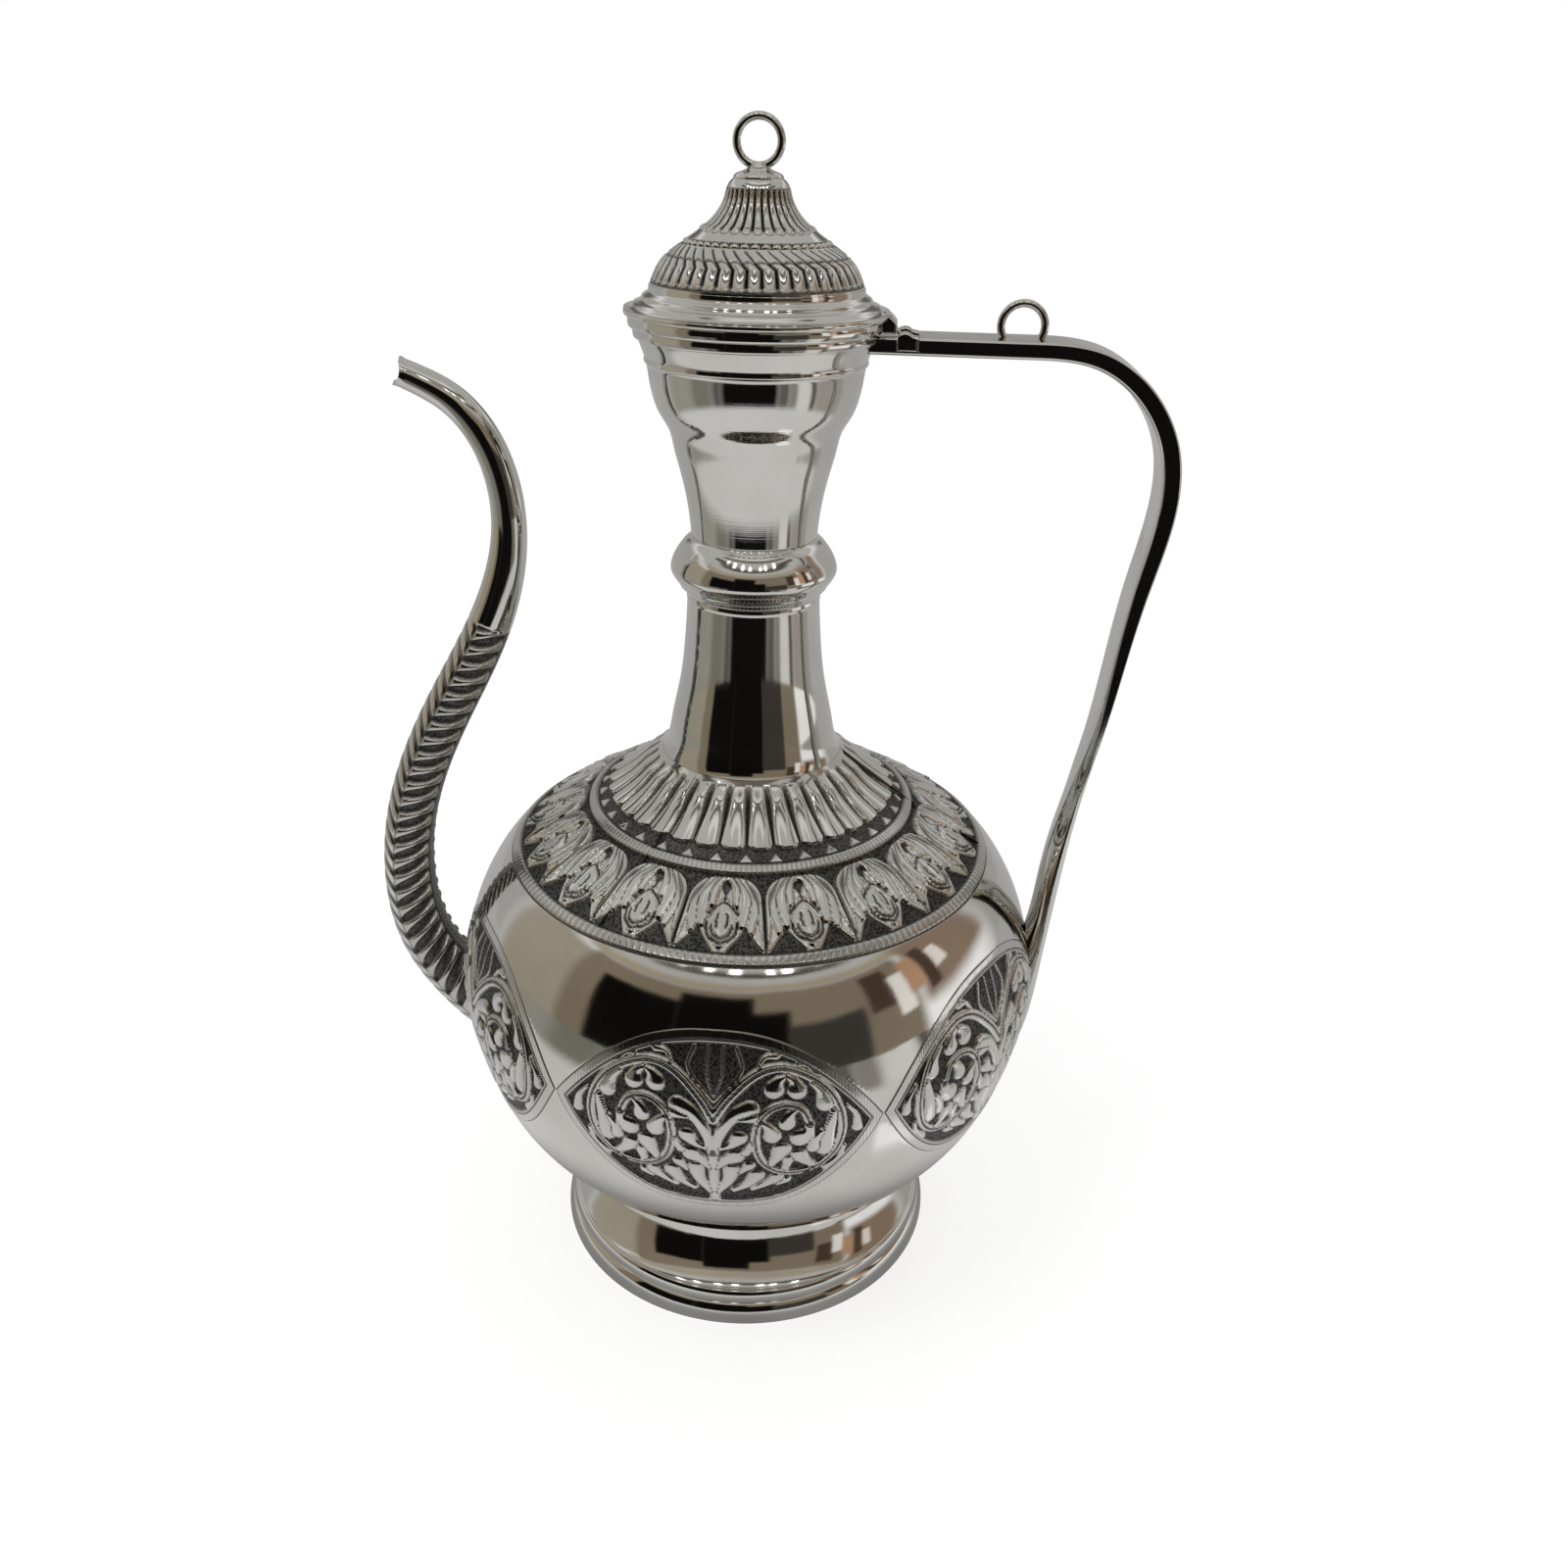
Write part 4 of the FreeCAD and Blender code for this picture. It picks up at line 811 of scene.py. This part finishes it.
def domePiece():
    # bold upright gadroons round the swell, thinner slanting ones above them, then a row of beads
    line = smoothLine(between(domeFoot, domeHead, lid["domeShares"]), (-0.05, 1), (-1, 0.75), 110)
    columns = lid["gadroons"] * 16
    share = np.linspace(0, 1, len(line))[:, None]
    turn = np.arange(columns)[None] / columns
    upper = smoothStep(0.50, 0.56, share)
    phase = turn * lid["gadroons"] + lid["swirl"] * np.clip(share - 0.42, 0, 1) / 0.5
    bar = np.abs((phase % 1) - 0.5) * 2
    rounded = np.sqrt(np.clip(1 - bar ** 2, 0, 1))
    lowEnd = smoothStep(0.04 + 0.05 * bar ** 2, 0.10 + 0.06 * bar ** 2, share)
    parting = hump(share, 0.52 + 0.05 * (1 - bar ** 2), 0.025)
    amount = lowEnd * (1 - smoothStep(0.80, 0.86, share))
    height = amount * ((rounded - 1) * lid["gadroonRise"] * (1 - 0.6 * upper) - 0.3 * parting)
    dark = np.maximum(amount * smoothStep(0.5 + 0.15 * upper, 0.86, bar) * 0.95, amount * 0.85 * parting)
    dark = np.maximum(dark, 0.85 * (1 - lowEnd) * smoothStep(0.015, 0.035, share))
    beadAcross = ((turn * lid["beads"]) % 1 - 0.5) * 2
    bead = np.clip(1 - beadAcross ** 2 - ((share - 0.93) / 0.06) ** 2, 0, 1)
    nearBead = smoothStep(0.85, 0.875, share) * (1 - smoothStep(0.985, 1.0, share))
    height = height * (1 - nearBead) + nearBead * (np.sqrt(bead) * lid["beadRise"] + lid["beadFloor"])
    dark = np.maximum(dark * (1 - nearBead), nearBead * (1 - smoothStep(0.02, 0.3, bead)) * 0.9)
    return liddedShell("lid_dome_gadroons", line, columns, height, dark)


def bellPiece():
    # a plain skirt, then upright flutes between thin ribs that start in rounded drops and run up to the cap
    bellHead = (lid["bellTopRadius"], lid["bellTop"])
    line = smoothLine(between(domeHead, bellHead, lid["bellShares"]), (-1, 0.6), (-0.8, 0.6), 110)
    columns = lid["flutes"] * 18
    share = np.linspace(0, 1, len(line))[:, None]
    across = np.abs((np.arange(columns)[None] / columns * lid["flutes"]) % 1 - 0.5) * 2
    tip = 0.17 + 0.06 * across ** 2
    amount = smoothStep(tip, tip + 0.05, share) * (1 - smoothStep(0.80, 0.86, share))
    drop = hump(share, tip + 0.06, 0.05)
    height = amount * lid["fluteDepth"] * (np.sqrt(np.clip(1 - across ** 2, 0, 1)) * (1 + 0.4 * drop) - 1)
    height = height - lid["bellPinch"] * smoothStep(0.55, 0.9, share)
    dark = amount * smoothStep(0.42, 0.82, across) * 0.95
    dark = np.maximum(dark, 0.7 * hump(share, tip - 0.012, 0.014))
    dark = np.maximum(dark, 0.8 * hump(share, 0.845, 0.012))
    return liddedShell("lid_bell_flutes", line, columns, height, dark)


chased(domePiece(), "lid", "lid_dome")
chased(bellPiece(), "lid", "lid_bell")
cap = {"floor": 286.2, "top": 290.6,
       "side": [(5.3, 286.2), (5.6, 287.6), (5.1, 288.3), (3.6, 288.9), (2.4, 289.6), (1.7, 290.6)]}
capSide = smoothLine(cap["side"], (0, 1), (-0.3, 1), 70)
capRows = np.vstack([evenly(np.array([(0, cap["floor"]), capSide[0]]), 8), capSide[1:],
                     evenly(np.array([capSide[-1], (0, cap["top"])]), 6)[1:]])
polished(gridPiece("lid_cap_knob", around(capRows, 128)), "lid", "lid_finial_cap")


def wireRing(name, x, z, ring=4.9, wire=0.9, columns=96, rows=24):
    # a ring of round wire standing in the plane of handle and spout
    large = ringAngles(columns)[:, None]
    small = ringAngles(rows)[None]
    reach = ring + wire * np.cos(small)
    y = wire * np.sin(small) + 0 * large
    points = np.stack([x + reach * np.cos(large), y, z + reach * np.sin(large)], -1)
    return gridPiece(name, points, wrapRows=True)


polished(wireRing("lid_ring_wire", 0, 294.8), "lid", "lid_finial_ring")
print("lid built")


# spout: a chased tube in an S with a plain lip

spout = {"wall": 1.2, "lipWall": 0.9, "joint": 0.66, "start": 5.0, "ribStart": 8.0, "ribs": 27,
         "ribDepth": 0.8, "ribRise": 0.22, "lineDepth": 0.45, "grainDepth": 0.25, "edgeDepth": 0.3,
         "edgeWidth": 3.0, "spine": 70.0, "strip": 160.0, "columns": 120, "rows": 520, "backRows": 40,
         "lipRows": 110, "lipBackRows": 60, "notch": 1.8, "bead": 0.25, "beadWidth": 0.6,
         "shares": (0, 0.26, 0.48, 0.64, 0.77, 0.92, 1.0),
         "radii": (9.2, 7.0, 6.35, 5.65, 4.4, 3.75, 3.3), "root": (-69, 60.5), "bend": (-96.6, 106),
         "neck": (-61, 208), "tip": (-85.6, 244), "lowShares": [(0.57, 0.27), (0.885, 0.57)],
         "middleShares": [(0.1, 0.23), (0.46, 0.517), (0.826, 0.76)],
         "highShares": [(0.06, 0.37), (0.21, 0.617), (0.48, 0.828), (0.744, 0.93)]}
spoutPoints = between(spout["root"], spout["bend"], spout["lowShares"])
spoutPoints += between(spout["bend"], spout["neck"], spout["middleShares"])[1:]
spoutPoints += between(spout["neck"], spout["tip"], spout["highShares"])[1:]
spoutLine = smoothLine(spoutPoints, (-1, 0.45), (-1, 0.35), 1200)
spoutRun = lengthAlong(spoutLine)
spoutSides = -sideways(spoutLine)
spoutStations = np.stack([np.array(spout["shares"]) * spoutRun[-1], spout["radii"]], -1)
spoutWidths = smoothLine(spoutStations, (1, -0.05), (1, -0.03), 300)
spoutJoint = spoutRun[-1] * spout["joint"]
spoutTurn = ringAngles(spout["columns"])[None]


def sweep(run, angle, radius):
    # circles square to the spout's line: the outer side of the S is at angle zero
    spot, side = (sampled(line, spoutRun, run) for line in (spoutLine, spoutSides))
    place = spot + side * (radius * np.cos(angle))[..., None]
    return np.stack([place[..., 0], radius * np.sin(angle) + 0 * run, place[..., 1]], -1)


def spoutRadius(run):
    return np.interp(run, *spoutWidths.T)


def spoutTubePiece():
    # herringbone: fine slanting lines on the outer side meet scooped ribs on the flanks, which end at a
    # grained strip along the inner side; every field repeats once in a pitch along the tube
    start, end = spout["start"], spoutJoint
    spine, strip, edge = spout["spine"], spout["strip"], spout["edgeWidth"]
    run = np.linspace(start, end, spout["rows"])[:, None]
    turn = np.degrees(np.abs((spoutTurn + math.pi) % fullTurn - math.pi))
    pitch = (end - spout["ribStart"]) / spout["ribs"]
    arc = np.radians(turn - spine) * spoutRadius(run)
    lift = np.where(arc < 0, -0.75 * arc, 0.5 * arc)
    phase = ((run - spout["ribStart"] - lift) / pitch) % 1
    onSpine = smoothStep(spine + edge, spine - edge, turn)
    onStrip = smoothStep(strip - edge, strip + edge, turn)
    onFlank = (1 - onSpine) * (1 - onStrip)
    middle, half = (spine + strip) / 2, (strip - spine) / 2
    thick = 0.36 * np.sqrt(np.clip(1 - ((turn - middle) / (half * 1.08)) ** 2, 0.02, 1))
    scoop = smoothStep(1.15, 0.7, np.abs(phase - 0.5) / thick) * onFlank
    rib = np.cos((phase - 0.02) * fullTurn) * onFlank
    line = hump(phase, 0.5, 0.17) * onSpine
    grain = (0.5 + 0.5 * np.sin(run * 5.2) * np.sin(spoutTurn * 34 + run * 1.7)) * onStrip
    edges = hump(turn, spine, edge) + hump(turn, strip, edge)
    fade = smoothStep(0, 3, run - start) * (1 - smoothStep(end - 2.6, end - 1.0, run))
    height = spout["ribRise"] * rib - spout["ribDepth"] * scoop - spout["lineDepth"] * line
    height = (height - spout["grainDepth"] * grain - spout["edgeDepth"] * edges) * fade
    # painted shadow: the scoop under each rib is darkened
    dark = np.clip(0.93 * scoop + 0.8 * line + (0.3 + 0.45 * grain) * onStrip + 0.7 * edges, 0, 0.95)
    dark = np.maximum(dark, 0.2 * onFlank) * fade
    outside = sweep(run, spoutTurn, spoutRadius(run) + height)
    back = np.linspace(end, start, spout["backRows"])[:, None]
    inside = sweep(back, spoutTurn, spoutRadius(back) - spout["wall"])
    tone = np.vstack([dark, np.zeros(inside.shape[:2])])
    return gridPiece("spout_chased_tube", np.vstack([outside, inside]), wrapRows=True, tone=tone)


def spoutLipPiece():
    # a plain tube whose mouth is cut back at both flanks, so that it ends in an upper and a lower lip
    mouth = spoutRun[-1] - spout["notch"] * np.sin(spoutTurn) ** 2
    run = spoutJoint + (mouth - spoutJoint) * np.linspace(0, 1, spout["lipRows"])[:, None]
    outside = sweep(run, spoutTurn, spoutRadius(run) + spout["bead"] * hump(run, mouth, spout["beadWidth"]))
    back = spoutJoint + (mouth - spoutJoint) * np.linspace(1, 0, spout["lipBackRows"])[:, None]
    inside = sweep(back, spoutTurn, spoutRadius(back) - spout["lipWall"])
    return gridPiece("spout_lip", np.vstack([outside, inside]), wrapRows=True)


chased(spoutTubePiece(), "pot", "spout_tube")
polished(spoutLipPiece(), "pot", "spout_tip")
print("spout built")


# handle: a flat strap in one sweep from the mouth to the belly, square-edged above and rounder below

handle = {"width": 14.0, "barTop": 256.2, "thick": 4.0, "root": 26.0, "barEnd": 63.9, "reach": 98.9,
          "reachTop": 223.0, "gripThick": 4.4, "end": (78.0, 71.0), "landing": (73.6, 88.0),
          "slot": (32.0, 37.0), "slotFloor": 253.2, "edge": 0.6, "corner": 0.45, "crown": 0.25,
          "squareAbove": 200.0, "roundBelow": 150.0, "squareness": (2.2, 10.0),
          "bendShares": [(0.42, 0.055), (0.8, 0.355), (0.97, 0.72)],
          "gripShares": [(0.177, 0.156), (0.411, 0.361), (0.622, 0.526), (0.766, 0.704), (0.866, 0.862)],
          "gripInnerShares": [(0.153, 0.176), (0.354, 0.407), (0.493, 0.526), (0.574, 0.593),
                              (0.675, 0.667), (0.775, 0.778), (0.842, 0.874)]}


def strapLine(barX, level, reach, end, gripShares, endWay):
    # one side of the strap: along the bar, round the bend and down the grip
    bendStart, bendEnd = (handle["barEnd"], level), (reach, handle["reachTop"])
    bar = np.stack([barX, np.full_like(barX, level)], -1)
    bend = smoothLine(between(bendStart, bendEnd, handle["bendShares"]), (1, 0), (0, -1), 90)
    grip = smoothLine(between(bendEnd, end, gripShares), (0, -1), endWay, 220)
    return np.vstack([bar, bend[1:], grip[1:]])


def handlePiece():
    # between the outer and inner lines, each section runs flat across the back and round the inside as
    # half a rounded square, whose power falls from square to round down the grip
    floor = handle["barTop"] - handle["thick"]
    inner = handle["reach"] - handle["gripThick"]
    low, high = handle["slot"]
    barX = np.r_[np.linspace(handle["root"], low, 10), low + 0.02, np.linspace(low + 0.1, high - 0.1, 6),
                 high - 0.02, np.linspace(high, handle["barEnd"], 50)]
    out = strapLine(barX, handle["barTop"], handle["reach"], handle["end"], handle["gripShares"], (-0.25, -1))
    back = strapLine(barX, floor, inner, handle["landing"], handle["gripInnerShares"], (-0.1, -1))
    slots = np.zeros((len(out), 1), bool)
    slots[:len(barX), 0] = (barX > low + 0.01) & (barX < high - 0.01)
    square = smoothStep(handle["roundBelow"], handle["squareAbove"], out[:, 1:])
    roundest, squarest = handle["squareness"]
    power = 2 / (roundest + (squarest - roundest) * square)
    half = handle["width"] / 2
    flat = np.linspace(1, -1, 29)[None]
    sweepIn = np.linspace(0, math.pi, 61)[None, 1:-1]
    thick = np.linalg.norm(out - back, axis=1)[:, None]
    way = (back - out) / thick
    corner = handle["corner"] * np.clip((np.abs(flat) - 0.9) / 0.1, 0, 1) ** 2.5
    crown = handle["crown"] * (1 - square) * flat ** 2
    side = np.minimum(handle["edge"], thick * 0.4)
    depth = np.hstack([corner + crown, side + (thick - side) * np.sin(sweepIn) ** power])
    depth = np.where(slots, np.maximum(depth, handle["barTop"] - handle["slotFloor"]), depth)
    inY = -half * np.sign(np.cos(sweepIn)) * np.abs(np.cos(sweepIn)) ** power
    y = np.hstack([half * flat + 0 * thick, inY])
    points = np.stack([out[:, :1] + way[:, :1] * depth, y, out[:, 1:] + way[:, 1:] * depth], -1)
    return gridPiece("handle_strap", capped(points))


polished(handlePiece(), "pot", "handle", sharp=40)
polished(wireRing("handle_ring_wire", 60.0, 258.7), "pot", "handle_ring")
print("handle built")


# hinge: the handle's knuckles, and the lid's leaf, which fills the corner behind the brim

hinge = {"x": 33.8, "z": 255.0, "knuckle": 2.2, "barrel": 1.4, "gap": 0.05, "leafHalf": 5.6,
         "armHalf": 2.5, "lugs": (2.85, 6.95), "edge": 0.3, "clear": 29.46, "clearBelow": 259.4,
         "sides": 120, "lugBack": [(36.1, 256.36), (36.95, 256.22)],
         "leafTop": [(27.2, 261.3), (29.2, 260.85), (30.7, 259.95), (31.9, 258.6)],
         "leafUnder": [(31.9, 257.1), (31.7, 256.75), (28.6, 256.75), (28.6, 259.5), (27.2, 259.8)],
         "armTop": [(29.6, 260.2), (30.6, 259.0), (31.8, 257.7), (32.7, 256.75)],
         "armUnder": [(32.4, 256.3), (31.5, 256.8), (30.2, 258.4)]}


def acrossPiece(name, outline, low, high):
    # a closed outline in the plane of handle and spout, carried across it, with the rims of both ends eased;
    # below the lid's floor it is hollowed to keep clear of the mouth rim
    sides, edge = hinge["sides"], hinge["edge"]
    outline = evenly(np.vstack([outline, outline[:1]]), sides + 1)[:-1]
    after = np.roll(outline, -1, 0)
    way = unit(after - np.roll(outline, 1, 0))
    normal = np.stack([-way[:, 1], way[:, 0]], -1)
    turning = np.sum(outline[:, 0] * after[:, 1] - after[:, 0] * outline[:, 1])
    ease = edge * np.array([1, 0.3, 0, 0, 0.3, 1])
    across = np.array([low, low + 0.3 * edge, low + edge, high - edge, high - 0.3 * edge, high])
    places = outline[None] + np.sign(turning) * normal[None] * ease[:, None, None]
    y = np.repeat(across[:, None], sides, 1)
    clear = np.where(places[..., 1] < hinge["clearBelow"], np.sqrt(hinge["clear"] ** 2 - y ** 2), 0)
    return gridPiece(name, capped(np.stack([np.maximum(places[..., 0], clear), y, places[..., 1]], -1)))


def hingeArc(radius, start, end, count):
    turn = np.radians(np.linspace(start, end, count))
    return np.stack([hinge["x"] + radius * np.cos(turn), hinge["z"] + radius * np.sin(turn)], -1)


lugFront, lugBack = handle["slot"][0] + hinge["gap"], handle["slot"][1] - hinge["gap"]
lugFloor = handle["slotFloor"] + hinge["gap"]
lugOutline = np.vstack([[(lugFront, lugFloor)], hingeArc(hinge["knuckle"], 142, 44, 24), hinge["lugBack"],
                        [(lugBack, lugFloor)]])
leafTop = smoothLine(hinge["leafTop"], (1, -0.1), (0.6, -0.8), 40)
leafOutline = np.vstack([leafTop, hinge["leafUnder"]])
armOutline = np.vstack([hinge["armTop"], hingeArc(hinge["barrel"], 118, -170, 40), hinge["armUnder"]])
lugIn, lugOut = hinge["lugs"]
for name, low, high in (("hinge_lug_front", -lugOut, -lugIn), ("hinge_lug_back", lugIn, lugOut)):
    polished(acrossPiece(name + "_knuckle", lugOutline, low, high), "pot", name)
for name, outline, half in (("lid_hinge_wedge", leafOutline, hinge["leafHalf"]),
                            ("lid_hinge_arm", armOutline, hinge["armHalf"])):
    polished(acrossPiece(name, outline, -half, half), "lid", "lid_hinge_leaf")
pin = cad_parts["hinge_pin"]
pin.data.materials.clear()
pin.data.materials.append(polishedSilver)
print("hinge built")


# studio: a pale floor and a white room; a table and wall panels that glow and that only the polished metal
# mirrors, as painted reflections

studio = {"floor": (0.9, 0.9, 0.9, 1), "floorRough": 0.9, "floorGlow": 0.6, "floorSize": 8.0,
          "frontTurn": -84.2, "skyLight": (0.45, 0.45, 0.45, 1), "roomRadius": 1100.0,
          "roomMiddle": 120.0, "roomLifts": (-8, 89.5, 130), "roomColumns": 360,
          "tableReach": (20, 1093.0, 260), "tableColumns": 720, "tableLevel": 0.3,
          "tableEdge": (355.0, 445.0), "tableNear": (0.66, 0.655, 0.64),
          "tableBehind": (0.46, 0.455, 0.445), "tableFront": (115, 95), "footShade": 0.4,
          "footShadeReach": (54, 100)}
deepShade = (0.005, 0.0045, 0.004)
panels = [  # from the front: middle and half width in degrees, lowest and highest elevation, edge, colour
    (0, 181, 38, 95, 3, (0.50, 0.49, 0.47)),
    (0, 82, 38, 43, 2, (0.42, 0.36, 0.27)),
    (0, 82, 49, 54, 1.5, (0.10, 0.085, 0.07)),
    (0, 82, 60, 66, 1.5, (0.16, 0.14, 0.11)),
    (0, 82, 70, 79, 2, (0.74, 0.73, 0.70)),
    (-90, 22, -20, 36, 4, (0.38, 0.34, 0.265)),
    (90, 20, 4, 41, 4, (0.28, 0.20, 0.145)),
    (-3, 71, -20, 38, 3, (0.24, 0.195, 0.14)),
    (-44, 17, -20, 27, 1.5, deepShade),
    (-13, 15, -20, 33, 1.5, deepShade),
    (8, 8, -20, 24, 1.5, deepShade),
    (30, 15, -20, 17, 1.5, (0.05, 0.045, 0.04)),
    (53, 6, 12, 33, 1, (0.07, 0.045, 0.03)),
    (62, 4, 6, 26, 1, (0.90, 0.87, 0.82)),
    (69, 4, 12, 31, 1, (0.50, 0.30, 0.18)),
    (77, 3, 8, 33, 1, (0.08, 0.05, 0.035)),
    (83, 3, 14, 27, 1, (0.85, 0.78, 0.72)),
    (180, 70, -20, 34, 8, (0.42, 0.41, 0.395)),
    (180, 30, 16, 30, 5, (0.14, 0.135, 0.13))]
# small bright patches high up: painted glints of ceiling lamps, which light nothing and show in polished
# metal only
panels += [(turn, 2.2, 53.0, 56.0, 0.7, (6.0, 5.9, 5.6)) for turn in (-52, -38, -22, -8, 12, 22, 40)]
beyondTable = [  # on the floor past the table's edge: from and to in degrees from the front, edge, colour
    (-105, -75, 8, (0.34, 0.325, 0.285)),
    (-75, -48, 8, (0.21, 0.20, 0.165)),
    (-48, -38, 6, (0.09, 0.085, 0.07)),
    (-38, 24, 5, deepShade),
    (24, 36, 4, (0.13, 0.115, 0.10)),
    (36, 45, 3, (0.27, 0.245, 0.22)),
    (46, 60, 3, (0.70, 0.69, 0.66)),
    (62, 68, 2, (0.10, 0.08, 0.07)),
    (68, 105, 6, (0.36, 0.33, 0.30))]
# where a white card on the table fades in and out, in degrees from the front and millimetres from the axis
whiteCard = {"turn": (38, 42), "turnEnd": (66, 62), "reach": (105, 120), "reachEnd": (172, 150)}


def glowing(name, colours):
    # a stage surface that lamps and the camera pass by: its colours show in polished metal only
    material, tree, shader = newMaterial(name)
    tree.nodes.remove(shader)
    glow = addNode(tree, "ShaderNodeEmission", Strength=1.0)
    tint = addNode(tree, "ShaderNodeAttribute", attribute_name=colours)
    tree.links.new(tint.outputs["Color"], glow.inputs["Color"])
    tree.links.new(glow.outputs[0], tree.nodes["Material Output"].inputs["Surface"])
    return material


def mirrorOnly(card, colours):
    layer = card.data.attributes.new("panelColour", "FLOAT_COLOR", "POINT")
    opaque = np.dstack([colours, np.ones(colours.shape[:2])])
    layer.data.foreach_set("color", opaque.astype(np.float32).ravel())
    card.data.materials.append(glowing(card.name + "Glow", "panelColour"))
    for rays in ("camera", "diffuse", "transmission", "shadow"):
        setattr(card, "visible_" + rays, False)


def addRoom():
    # half a globe round the pot, white but for the panels; an edge fades over a few degrees
    lift = np.linspace(*studio["roomLifts"])[:, None]
    turn = (np.arange(studio["roomColumns"]) - 180.0)[None]
    colours = np.ones((len(lift), studio["roomColumns"], 3))
    for middle, half, low, high, edge, colour in panels:
        away = np.abs((turn - middle + 180) % 360 - 180)
        cover = smoothStep(half + edge, half - edge, away) * within(lift, low, high, edge)
        colours = colours + (np.array(colour) - colours) * cover[..., None]
    angle = np.radians(turn + studio["frontTurn"])
    reach = studio["roomRadius"] * np.cos(np.radians(lift))
    level = studio["roomMiddle"] + studio["roomRadius"] * np.sin(np.radians(lift)) + 0 * angle
    mirrorOnly(gridPiece("room", polar(reach, angle, level)), colours)


def addTable():
    # a disc under the pot: pale up to the table's edge, darker near the foot in a painted shadow of the pot,
    # with one white card on it, then sectors by the angle from the front
    away = np.linspace(*studio["tableReach"])[:, None]
    turn = np.degrees(ringAngles(studio["tableColumns"]))[None]
    fromFront = (turn - studio["frontTurn"] + 180) % 360 - 180
    past = np.zeros((1, studio["tableColumns"], 3)) + np.array(studio["tableBehind"])
    for low, high, edge, colour in beyondTable:
        cover = within(fromFront, low, high, edge)
        past = past + (np.array(colour) - past) * cover[..., None]
    ahead = smoothStep(*studio["tableFront"], np.abs(fromFront))[..., None]
    near = np.array(studio["tableBehind"]) * (1 - ahead) + np.array(studio["tableNear"]) * ahead
    card = smoothStep(*whiteCard["turn"], fromFront) * smoothStep(*whiteCard["turnEnd"], fromFront)
    card = card * smoothStep(*whiteCard["reach"], away) * smoothStep(*whiteCard["reachEnd"], away)
    # painted shadow of the pot on the table round the foot
    lit = studio["footShade"] + (1 - studio["footShade"]) * smoothStep(*studio["footShadeReach"], away)
    near = (near + (1 - near) * card[..., None]) * lit[..., None]
    over = smoothStep(*studio["tableEdge"], away)[..., None]
    colours = near * (1 - over) + past * over
    level = np.full(colours.shape[:2], studio["tableLevel"])
    mirrorOnly(gridPiece("table", polar(away, np.radians(turn), level)), colours)


def addFloor():
    half = studio["floorSize"] / 2
    mesh = bpy.data.meshes.new("floor")
    corners = [(-half, -half, 0), (half, -half, 0), (half, half, 0), (-half, half, 0)]
    mesh.from_pydata(corners, [], [(0, 1, 2, 3)])
    material, _, shader = newMaterial("paleFloor")
    looks = {"Base Color": studio["floor"], "Roughness": studio["floorRough"], "Specular IOR Level": 0.0,
             "Emission Color": (1, 1, 1, 1), "Emission Strength": studio["floorGlow"]}
    for name, value in looks.items():
        shader.inputs[name].default_value = value
    mesh.materials.append(material)
    addObject("floor", mesh)


def addSky():
    world = bpy.data.worlds.new("whiteRoom")
    scene.world = world
    world.use_nodes = True
    tree = world.node_tree
    sky = tree.nodes["Background"]
    rays = addNode(tree, "ShaderNodeLightPath")
    seen = combined(tree, "MAXIMUM", rays.outputs["Is Camera Ray"], rays.outputs["Is Glossy Ray"])
    seen = combined(tree, "MAXIMUM", seen, rays.outputs["Is Transmission Ray"])
    tree.links.new(mixColours(tree, seen, studio["skyLight"], (1, 1, 1, 1)), sky.inputs["Color"])
    sky.inputs["Strength"].default_value = 1.0


lamp = {"place": (-0.5, -0.5, 1.3), "size": 0.5, "power": 1.6, "target": (0, 0, 0.12)}


def addLamp():
    data = bpy.data.lights.new("keyLamp", "AREA")
    data.shape = "RECTANGLE"
    data.size = data.size_y = lamp["size"]
    data.energy = lamp["power"]
    light = addObject("keyLamp", data)
    light.location = lamp["place"]
    way = Vector(lamp["target"]) - Vector(lamp["place"])
    light.rotation_euler = way.to_track_quat("-Z", "Y").to_euler()


camera = {"place": (0.03201, -0.31512, 0.29702), "ahead": (-0.06595, 0.89403, -0.44313),
          "right": (0.99619, 0.08437, 0.02196), "lens": 30.375, "sensor": 36.0, "nearest": 0.01}


def addCamera():
    data = bpy.data.cameras.new("camera")
    data.sensor_width = camera["sensor"]
    data.lens = camera["lens"]
    data.clip_start = camera["nearest"]
    ahead, right = Vector(camera["ahead"]), Vector(camera["right"])
    up = right.cross(ahead)
    turn = Matrix((right, up, -ahead)).transposed().to_4x4()
    eye = addObject("camera", data)
    eye.matrix_world = Matrix.Translation(camera["place"]) @ turn
    scene.camera = eye


addFloor()
addSky()
addRoom()
addTable()
addLamp()
addCamera()
print("studio ready")
